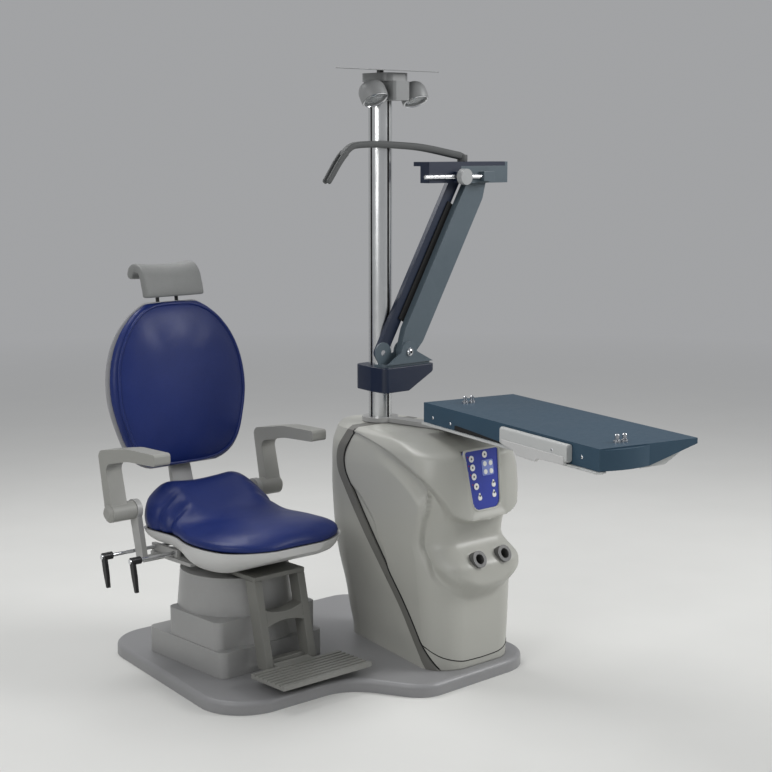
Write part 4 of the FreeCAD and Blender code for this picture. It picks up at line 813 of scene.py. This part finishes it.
form = bmesh.new()
for side in (-1, 1):
    stile = ladder_section(side * LADDER_HALF, ladder_low, ladder_high)
    prism(form, stile, Vector((-side * STILE_WIDTH, 0, 0)))
rings = []
for u in shares(RUNG_STEPS):
    bow = RUNG_BOW * 4 * u * (1 - u)
    section = ladder_section((INNER_HALF + OVERLAP) * (2 * u - 1), RUNG_LOW + bow, RUNG_HIGH - bow)
    rings.append([form.verts.new(spot) for spot in section])
skin_rings(form, rings)
bar = [on_ladder(-INNER_HALF - OVERLAP, ladder_low + rise, back) for rise, back in FOOT_BAR]
prism(form, bar, Vector((2 * (INNER_HALF + OVERLAP), 0, 0)))
fold = next(joint for joint in behaviour["joints"] if joint["name"] == "foot_plate_fold")
hinge = Vector((CHAIR_X, fold["pos_m"][1], fold["pos_m"][2]))
pin = [hinge + Vector((side * (INNER_HALF + 0.002), 0, 0)) for side in (-1, 1)]
tube(form, pin, 0.0045, 16, False)
soften(stand_in("footrest_ladder", form, "footrest_frame"), 0.002)
print("footrest ladder")

# %% Carrier of the seat and the footrest
CARRIER_RADIUS = 0.11
CARRIER_DEPTH = 0.014
CARRIER_DISC = [(0, 0), (CARRIER_RADIUS, 0), (CARRIER_RADIUS, CARRIER_DEPTH), (0, CARRIER_DEPTH)]
SKIN_STEP = 0.0001
chair_y = ends(points_of("seat_carrier"), 1)[1] - CARRIER_RADIUS
form = turned(CARRIER_DISC, (CHAIR_X, chair_y, ladder_high), (0, 0, 1), 64)
corners = [Vector((CHAIR_X + x, y, ladder_high + SKIN_STEP)) for x, y in (
    (-LADDER_HALF, top_front), (LADDER_HALF, top_front), (LADDER_HALF, chair_y), (-LADDER_HALF, chair_y))]
prism(form, corners, Vector((0, 0, CARRIER_DEPTH - 2 * SKIN_STEP)))
soften(stand_in("carrier_plate", form, "seat_carrier"), 0.0015)
print("carrier plate")

# %% [markdown]
# ## Cushions
# Each cushion starts from its solid, a little smaller, and is blown up with Blender's cloth under
# pressure, so its skin pulls tight over the foam. The underside stays flat on the shell.

# %% Cushion maker
CLOTH_FRAMES = 20
EVENING_PASSES = 24
CLOTH = {"quality": 5, "mass": 0.3, "tension_stiffness": 18, "compression_stiffness": 18,
         "bending_stiffness": 2, "use_pressure": True, "uniform_pressure_force": 4}


def shown_mesh(obj):
    """The mesh that an object shows with its modifiers."""
    depsgraph = bpy.context.evaluated_depsgraph_get()
    return bpy.data.meshes.new_from_object(obj.evaluated_get(depsgraph))


def even_mesh(form, voxel, name):
    """Remesh form into even quads."""
    obj = mesh_object(name, form)
    rough = obj.data
    remesh = obj.modifiers.new("Even", "REMESH")
    remesh.mode = "VOXEL"
    remesh.voxel_size = voxel
    even = shown_mesh(obj)
    bpy.data.objects.remove(obj)
    bpy.data.meshes.remove(rough)
    return even


def relax(form, passes):
    for _ in range(passes):
        bmesh.ops.smooth_vert(form, verts=form.verts, factor=0.5, use_axis_x=True, use_axis_y=True,
                              use_axis_z=True)


def evened(moves, edges):
    """Average each point's move with its neighbours' moves, over and over."""
    near = [[] for _ in moves]
    for edge in edges:
        first, second = edge.vertices
        near[first].append(second)
        near[second].append(first)
    for _ in range(EVENING_PASSES):
        moves = [sum((moves[k] for k in beside), move) / (len(beside) + 1)
                 for move, beside in zip(moves, near)]
    return moves


def inflate(mesh, name, cap, held):
    """Blow the mesh up with cloth, pin the held points, cap how far the others move and even it out."""
    rest = [v.co.copy() for v in mesh.vertices]
    obj = link_object(name, mesh)
    cloth = obj.modifiers.new("Cloth", "CLOTH")
    for setting, value in CLOTH.items():
        setattr(cloth.settings, setting, value)
    pins = obj.vertex_groups.new(name="pins")
    pins.add([index for index, co in enumerate(rest) if held(co)], 1, "REPLACE")
    cloth.settings.vertex_group_mass = "pins"
    cloth.settings.effector_weights.gravity = 0
    cloth.point_cache.frame_start = 1
    cloth.point_cache.frame_end = CLOTH_FRAMES
    for frame_number in range(1, CLOTH_FRAMES + 1):
        scene.frame_set(frame_number)
    blown = shown_mesh(obj)
    bpy.data.objects.remove(obj)
    scene.frame_set(1)
    moves = []
    for vertex, start in zip(blown.vertices, rest):
        move = vertex.co - start
        moves.append(move if move.length <= cap else move.normalized() * cap)
    for vertex, start, move in zip(blown.vertices, rest, evened(moves, blown.edges)):
        vertex.co = start + move
    return blown


def cushion(node, name, voxel, cap, held, limit):
    """A cushion for a node: shrunk, blown up with the held points pinned, and shaped by limit."""
    form = clean_copy(node)
    bmesh.ops.triangulate(form, faces=form.faces)
    mesh = even_mesh(form, voxel, name + "_even")
    form = bmesh.new()
    form.from_mesh(mesh)
    form.normal_update()
    for vertex in form.verts:
        vertex.co -= vertex.normal * 0.0005
    relax(form, 4)
    form.to_mesh(mesh)
    form.free()
    mesh = inflate(mesh, name + "_cloth", cap, held)
    form = bmesh.new()
    form.from_mesh(mesh)
    relax(form, 6)
    for vertex in form.verts:
        vertex.co = limit(vertex.co)
    obj = stand_in(name, form, node, 180)
    print(name, len(obj.data.vertices), "points")
    return obj


def bell(value, middle, width):
    """A bump of height 1 round a middle."""
    return exp(-((value - middle) / width) ** 2)


print("cushion maker ready")

# %% Seat cushion
SEAT_SEAM = 0.4503
SEAT_FRONT = -0.195
SEAT_LENGTH = 0.56
SADDLE_CREASE = 0.009
HUMP_CREASE = 0.005
SHOULDER_RISE = 0.018
CREST_DIP = 0.012


def shape_seat(co):
    """Keep the cushion on its shell and pull two creases in at each side, where hump and saddle meet."""
    across = co.x - CHAIR_X
    along = (co.y - SEAT_FRONT) / SEAT_LENGTH
    pull = SADDLE_CREASE * bell(along, 0.7, 0.022) + HUMP_CREASE * bell(along, 0.8, 0.02)
    pull *= ease(0.08, 0.21, abs(across))
    z = co.z - 0.7 * pull * ease(SEAT_SEAM, SEAT_SEAM + 0.03, co.z)
    roll = SHOULDER_RISE * bell(abs(across), 0.14, 0.05) - CREST_DIP * bell(across, 0, 0.07)
    z += roll * ease(0.52, 0.7, along) * ease(0.47, 0.53, co.z)
    return Vector((co.x - copysign(pull, across), co.y, max(z, SEAT_SEAM)))


def on_seat_shell(co):
    return co.z < SEAT_SEAM + 0.016


cushion("seat_cushion", "seat_pad", 0.006, 0.004, on_seat_shell, shape_seat)

# %% Backrest cushion
LEAN = radians(7)
BACK_FOOT = Vector((CHAIR_X, 0.416, 0.616))
to_foot = Matrix.Translation(BACK_FOOT)
lean_back = to_foot @ Matrix.Rotation(-LEAN, 4, "X") @ Matrix.Translation(-BACK_FOOT)
stand_up = lean_back.inverted()


def shape_back(co):
    """Keep the cushion in front of its shell."""
    upright = stand_up @ co
    upright.y = min(upright.y, BACK_FOOT.y - 0.0004)
    return lean_back @ upright


def on_back_shell(co):
    return (stand_up @ co).y > BACK_FOOT.y - 0.016


back = cushion("backrest_cushion", "backrest_pad", 0.006, 0.003, on_back_shell, shape_back)

# %% Piped rim of the backrest
BACK_HALF = 0.252
BACK_HEIGHT = 0.538
# height and half width of the cushion, as shares
BACK_OUTLINE = [(0, 0.48), (0.03, 0.64), (0.1, 0.79), (0.25, 0.92), (0.43, 1), (0.6, 0.985),
                (0.76, 0.88), (0.88, 0.71), (0.96, 0.52), (1, 0.36)]
SIDE_STEPS = 60
TOP_STEPS = 6
FOOT_STEPS = 7
right_side = [Vector((BACK_HALF * through(BACK_OUTLINE, share), BACK_HEIGHT * share))
              for share in shares(SIDE_STEPS)]
top_half = right_side[-1].x
foot_half = right_side[0].x
rim = right_side + [Vector((top_half * (1 - k / TOP_STEPS), BACK_HEIGHT)) for k in range(1, 2 * TOP_STEPS)]
rim += [Vector((-point.x, point.y)) for point in reversed(right_side)]
rim += [Vector((-foot_half * (1 - k / FOOT_STEPS), 0)) for k in range(1, 2 * FOOT_STEPS)]
middle = Vector((0, BACK_HEIGHT / 2))
rim = [middle + (point - middle) * 0.965 for point in rim]
for _ in range(12):
    rim = [(rim[k - 1] + rim[k] * 2 + rim[(k + 1) % len(rim)]) / 4 for k in range(len(rim))]
faces = [face.vertices for face in back.data.polygons]
surface = BVHTree.FromPolygons([vertex.co for vertex in back.data.vertices], faces)
ahead = lean_back.to_3x3() @ Vector((0, 1, 0))
cord = []
for point in rim:
    start = lean_back @ (BACK_FOOT + Vector((point.x, -0.3, point.y)))
    hit = surface.ray_cast(start, ahead)[0]
    if hit is not None:
        cord.append(hit - ahead * 0.001)
tube_piece("backrest_piping", [cord], 0.0048, 10, True, "pipe", "back")
print("piping through", len(cord), "points")

# %% Headrest pad
HEAD_HALF = 0.114
HEAD_LEAN = 0.016
HEAD_FLARE = 0.009
HEAD_SAG = 0.008


def shape_head(co):
    """Lean the roll back a little and hollow the pad across, so its ends flare."""
    upright = stand_up @ co
    across = ((co.x - CHAIR_X) / HEAD_HALF) ** 2
    upright.y += HEAD_LEAN * ease(1.168, 1.286, upright.z) - HEAD_FLARE * across
    upright.z -= HEAD_SAG * (1 - across) * ease(1.22, 1.27, upright.z)
    return lean_back @ upright


def by_head_ends(co):
    return abs(co.x - CHAIR_X) > 0.106


cushion("headrest_pad", "headrest_cushion", 0.004, 0.004, by_head_ends, shape_head)

# %% [markdown]
# ## Lamps, column and arm
# The lamps are turned pods with a bright bezel and a bulb. Near-black strips in the slots of the column and
# a near-black sheet in the groove between the two links are painted shade, a screw closes the lower pivot,
# and the hanger is a bowed bar with a forked end.

# %% Lamps
POD = [(0, 0.006), (0.014, 0.004), (0.029, -0.01), (0.0345, -0.023), (0.037, -0.03),
       (0.04, -0.0322), (0.0428, -0.03), (0.044, -0.02), (0.0435, 0.002), (0.041, 0.012),
       (0.035, 0.022), (0.025, 0.029), (0.012, 0.032), (0, 0.033)]
BEZEL = [(0.0365, -0.0305), (0.0375, -0.0328), (0.0395, -0.0334), (0.0412, -0.0325), (0.0405, -0.0305),
         (0.0365, -0.0305)]
BULB = [(0, -0.018), (0.005, -0.017), (0.008, -0.012), (0.0075, -0.006), (0.004, 0), (0, 0.001)]
LENS = [(0, -0.0285), (0.02, -0.0275), (0.0352, -0.0255), (0.0352, -0.0235), (0, -0.0235)]
LAMP_STEPS = 48
for side, word, tilt in ((-1, "left", radians(32)), (1, "right", radians(26))):
    node = "lamp_" + word
    body = body_of_node[node]
    centre = Vector((side * 0.088, -0.06, 1.822))
    axis = Vector((0, sin(tilt), cos(tilt)))
    stand_in(node + "_pod", turned(POD, centre, axis, LAMP_STEPS), node)
    add_piece(node + "_bezel", turned(BEZEL, centre, axis, LAMP_STEPS), "chrome", body)
    stand_in(node + "_glass", turned(LENS, centre, axis, LAMP_STEPS), "lamp_lens_" + word)
    add_piece(node + "_bulb", turned(BULB, centre, axis, 24), "key_white", body)
print("lamps")

# %% Painted shade in the column slots and the arm groove
STRIP_SIZE = Matrix.Diagonal((0.0006, 0.0078, 1.037, 1))
PIVOT = Vector((0.032, 0, 0.992))
LINK = Vector((0.332, 0, 0.562)).normalized()
ASIDE = Vector((-LINK.z, 0, LINK.x))
# distance along the link and aside from it
GROOVE_SHADE = [(0.085, 0.018), (0.52, 0.018), (0.52, 0.066), (0.085, 0.066)]
# near-black strips in the four slots of the column, painted shade
form = bmesh.new()
for k in range(4):
    turn = Matrix.Rotation(pi / 2 * k, 4, "Z")
    bmesh.ops.create_cube(form, size=1, matrix=turn @ Matrix.Translation((0.0299, 0, 1.2765)) @ STRIP_SIZE)
add_piece("column_slot_shade_strips", form, "gap", "unit")
# a near-black sheet in the groove between the two links, painted shade
corners = [PIVOT + LINK * along + ASIDE * aside + Vector((0, -0.0702, 0)) for along, aside in GROOVE_SHADE]
prism_piece("arm_groove_shade", corners, Vector((0, 0.0044, 0)), "gap", "link", 0.0006)
screw("arm_pivot_screw", PIVOT + Vector((0, -0.1102, 0)), (0, -1, 0), 0.0115, "collar")
print("column strips, web and arm screw")

# %% Refractor hanger
BOSS_RADIUS = 0.017
END_DROP = 0.076
# share of the length, then distance out, height and half thickness
HANGER_OUT = [(0, 0), (0.32, -0.235), (0.55, -0.4), (0.66, -0.474), (0.74, -0.51), (1, -0.587)]
HANGER_RISE = [(0, 0.007), (0.32, 0.04), (0.55, 0.046), (0.66, 0.042), (0.74, 0.022), (1, -0.071)]
HANGER_HALF = [(0, 0.0125), (0.3, 0.0115), (0.62, 0.0105), (1, 0.0085)]
FORK_START = 0.74
BAR_STEPS = 32
BAR_SIDES = 24
SQUARENESS = 0.6
BOSS = [(0, -0.004), (0.005, -0.004), (0.005, 0), (0.016, 0), (BOSS_RADIUS, 0.001),
        (BOSS_RADIUS, 0.02), (0.0155, 0.0225), (0, 0.0235)]
hanger_points = points_of("refractor_hanger")
hanger_root = Vector((ends(hanger_points, 0)[1] - BOSS_RADIUS, sum(ends(hanger_points, 1)) / 2,
                      ends(hanger_points, 2)[0] + END_DROP))


def on_hanger(t):
    return hanger_root + Vector((through(HANGER_OUT, t), 0, through(HANGER_RISE, t)))


def squared(value):
    """Push a sine or cosine outwards, so a circle turns into a rounded square."""
    return copysign(abs(value) ** SQUARENESS, value)


def hanger_bar(form, start, end, half_width, across):
    """A flat bar with rounded edges along the hanger from start to end, set off across it."""
    rings = []
    for k in range(BAR_STEPS + 1):
        t = start + (end - start) * k / BAR_STEPS
        along = (on_hanger(t + 0.006) - on_hanger(t - 0.006)).normalized()
        rise = Vector((-along.z, 0, along.x)) * through(HANGER_HALF, t)
        scale = 0.75 if k in (0, BAR_STEPS) else 1
        ring = []
        for j in range(BAR_SIDES):
            turn = 2 * pi * j / BAR_SIDES
            out = across + squared(cos(turn)) * scale * half_width
            up = squared(sin(turn)) * scale
            ring.append(form.verts.new(on_hanger(t) + Vector((0, out, 0)) + rise * up))
        rings.append(ring)
    skin_rings(form, rings)


form = bmesh.new()
hanger_bar(form, 0, FORK_START + 0.04, half_width=0.013, across=0)
for side in (-1, 1):
    hanger_bar(form, FORK_START, 1, half_width=0.005, across=side * 0.0095)
lathe(form, BOSS, hanger_root - Vector((0, 0, 0.01)), (0, 0, 1), 32)
stand_in("hanger_casting", form, "refractor_hanger")
print("hanger")

# %% [markdown]
# ## Keys and table
# The keys carry small marks, and the four-way key has its four white dots. The table has its screws and
# studs, a bowed far end, and the tray's wing and lip under that end.

# %% Marks on the keys
KEY_REACH = 0.077
# place of each key across and up the panel, as shares
KEY_SHARES = {
    "key_top": (0.16, 0.8), "key_left_1": (-0.6, 0.72), "key_left_2": (-0.58, 0.43),
    "key_left_3": (-0.55, 0.13), "key_left_4": (-0.47, -0.2), "key_drop_left": (-0.32, -0.52),
    "key_drop_right_1": (0.52, -0.16), "key_drop_right_2": (0.5, -0.5),
}
FOUR_WAY_SHARES = (0.28, 0.36)
DOT_SPREAD = 0.0125


def mark(name, across, up, depth, radius, material, body):
    """A thin disc on the keypad, its face at the given depth."""
    outward = on_panel(0, -1, 0) - on_panel(0, 0, 0)
    disc = [(0, 0.0004), (radius * 0.9, 0.0004), (radius, 0.0001), (radius, -0.0006), (0, -0.0006)]
    add_piece(name, turned(disc, on_panel(across, depth, up), outward, 24), material, body)


for node, (share_across, share_up) in KEY_SHARES.items():
    across = share_across * KEY_REACH
    up = share_up * PANEL_RISE
    if "drop" not in node:
        mark(node + "_cap", across, up, 0.0064, 0.0105, "key_white", body_of_node[node])
    mark(node + "_mark", across, up, 0.006, 0.0034, "well", body_of_node[node])
    if node.startswith("key_left"):
        mark(node + "_light", across - 0.0128, up + 0.007, 0.0088, 0.0022, "red", "unit")
for k, (a, b) in enumerate(((1, 1), (-1, 1), (1, -1), (-1, -1))):
    across = FOUR_WAY_SHARES[0] * KEY_REACH + a * DOT_SPREAD
    up = FOUR_WAY_SHARES[1] * PANEL_RISE + b * DOT_SPREAD
    body = body_of_node["key_four_way"]
    mark("four_way_dot_%d" % (k + 1), across, up, 0.0054, 0.0078, "key_white", body)
print("keys marked")

# %% Table fittings
TABLE_TURN = Matrix.Rotation(radians(-12.1), 4, "Z")
OUTWARD = TABLE_TURN.to_3x3() @ Vector((-1, 0, 0))
ALONG_TABLE = TABLE_TURN.to_3x3() @ Vector((0, 1, 0))
SCREW_RADIUS = 0.005
# distance along the table and height
APRON_SCREWS = [(-0.326, 0.813), (-0.428, 0.81), (-1.095, 0.82)]
RECESS = [(-0.452, 0.7935), (-0.452, 0.808), (-0.462, 0.8095), (-0.6, 0.8035), (-0.722, 0.7965),
          (-0.722, 0.7935)]
STEP = [(-0.738, 0.814), (-0.738, 0.801), (-0.8, 0.791), (-0.815, 0.779), (-0.905, 0.777),
        (-0.915, 0.787), (-1.04, 0.791), (-1.04, 0.814)]
STUD = [(0, 0.024), (0.0045, 0.0236), (0.0068, 0.021), (0.0068, 0.009), (0.005, 0.0075),
        (0.0098, 0.006), (0.0102, 0.001), (0.0102, -0.0002), (0, -0.0002)]


def on_table(x, y, z):
    """A point given in the directions of the turned table."""
    return TABLE_TURN @ Vector((x, y, z))


for k, (y, z) in enumerate(APRON_SCREWS):
    screw("apron_screw_%d" % (k + 1), on_table(0.003, y, z), OUTWARD, SCREW_RADIUS, "table")
screw("handle_screw", on_table(-0.0174, -0.985, 0.824), OUTWARD, SCREW_RADIUS, "table_lock")
# a thin near-black sheet on the apron, painted shade in its recess
recess = [on_table(0.0034, y, z) for y, z in RECESS]
prism_piece("apron_recess_shade", recess, OUTWARD * 0.0008, "gap", "table", 0.0002)
step = [on_table(-0.0066, y, z) for y, z in STEP]
prism_piece("handle_step", step, OUTWARD * 0.0128, "shell_grey", "table_lock", 0.002)
form = bmesh.new()
for y in (-0.356, -1.118):
    for x in (0.103, 0.129):
        lathe(form, STUD, on_table(x, y, 0.855), (0, 0, 1), 24)
stand_in("table_stud_pins", form, "table_studs")
print("table fittings")

# %% Bowed end of the table, and the tray's wing and lip under it
END_BOW = 0.016
BOW_STEPS = 28
BOW_OVERLAP = 0.001
TRAY_DROP = 0.0074
WING_REACH = 0.125
table_points = [TABLE_TURN.inverted() @ point for point in points_of("table_top")]
table_left, table_right = ends(table_points, 0)
table_low, table_high = ends(table_points, 2)
table_far = ends(table_points, 1)[0]
block_right = max(point.x for point in table_points if point.z < table_low + 0.001)
wing_slope = (table_high - 0.016 - table_low) / (table_right - block_right)
bow_left = table_left + 0.003
bow_right = block_right - 0.001
bow = [(bow_left, table_far + BOW_OVERLAP)]
for u in shares(BOW_STEPS):
    bow.append((bow_left + (bow_right - bow_left) * u, table_far - END_BOW * 4 * u * (1 - u)))
bow.append((bow_right, table_far + BOW_OVERLAP))
end_face = [on_table(x, y, table_low + 0.001) for x, y in bow]
end_height = Vector((0, 0, table_high - table_low - 0.005))
prism_piece("table_end_bow", end_face, end_height, "table_blue", "table", 0.0015)
# distance right of the block and height above its underside
WING = [(-0.022, -TRAY_DROP), (0.064, -0.005), (WING_REACH, WING_REACH * wing_slope - 0.0045),
        (0.002, -0.0036), (-0.022, -0.0036)]
wing = [on_table(block_right + x, table_far + 0.012, table_low + z) for x, z in WING]
prism_piece("tray_wing_end", wing, ALONG_TABLE * 0.07, "tray_grey", "table_carrier", 0.001)
# distance right of the table's left side and back from its far end
LIP = [(-0.008, 0.09), (-0.008, 0.003), (0.012, -0.003), (0.03, 0.006), (0.03, 0.09)]
lip = [on_table(table_left + x, table_far + y, table_low - TRAY_DROP) for x, y in LIP]
prism_piece("tray_lip_end", lip, Vector((0, 0, 0.0066)), "tray_grey", "table_carrier", 0.0025)
print("table end")

# %% [markdown]
# ## Studio
# A pale floor that fades into the backdrop, a large soft key light from the right, a weaker fill, a light
# from above and the camera where the photographer stood.

# %% Floor
BLACK = (0, 0, 0, 1)
BACKDROP = (0.36, 0.3645, 0.3735, 1)
form = bmesh.new()
bmesh.ops.create_grid(form, x_segments=8, y_segments=8, size=60)
floor = mesh_object("floor", form)
surface = Surface("floor_pale", specular_ior_level=0, emission_strength=1)
cloud = surface.place.noise(3, 4)
distance = (surface.place.axis(0) ** 2 + surface.place.axis(1) ** 2) ** 0.5
away = distance.ramp(2.2, 9)
pale = cloud.blend((0.66, 0.66, 0.64, 1), (0.7, 0.7, 0.68, 1))
surface.link("Base Color", away.blend(pale, BLACK))
surface.link("Emission Color", away.blend(BLACK, BACKDROP))
surface.link("Roughness", cloud * 0.1 + 0.5)
floor.data.materials.append(surface.material)
print("floor")

# %% Light and camera
AZIMUTH = radians(-42)
PITCH = radians(8.63)
world = bpy.data.worlds.new("studio")
world.use_nodes = True
background = next(n for n in world.node_tree.nodes if n.type == "BACKGROUND")
background.inputs["Color"].default_value = (0.8, 0.81, 0.83, 1)
background.inputs["Strength"].default_value = 0.45
scene.world = world
# place, aim, width, height and power
LIGHTS = {
    "key": ((3.2, -3.4, 3.6), (-0.2, -0.2, 0.8), 2.2, 2.2, 170),
    "fill": ((-4.2, -1.2, 2.6), (-0.4, 0, 0.7), 2, 2.6, 55),
    "top": ((-0.4, 1.6, 3.8), (-0.3, 0, 0.8), 2.4, 1.6, 70),
}
for name, (place, aim, width, height, power) in LIGHTS.items():
    light = link_object(name, bpy.data.lights.new(name, "AREA"))
    light.data.shape = "RECTANGLE"
    light.data.size = width
    light.data.size_y = height
    light.data.energy = power
    light.location = place
    light.rotation_euler = (Vector(aim) - Vector(place)).to_track_quat("-Z", "Y").to_euler()
camera = link_object("camera", bpy.data.cameras.new("camera"))
camera.data.sensor_width = 36
camera.data.lens = 73.45
camera.data.clip_end = 200
camera.location = (-3.419, -3.825, 1.65)
camera.rotation_euler = (pi / 2 - PITCH, 0, AZIMUTH)
scene.camera = camera
scene.view_settings.view_transform = "Standard"
print("three lights and a camera")
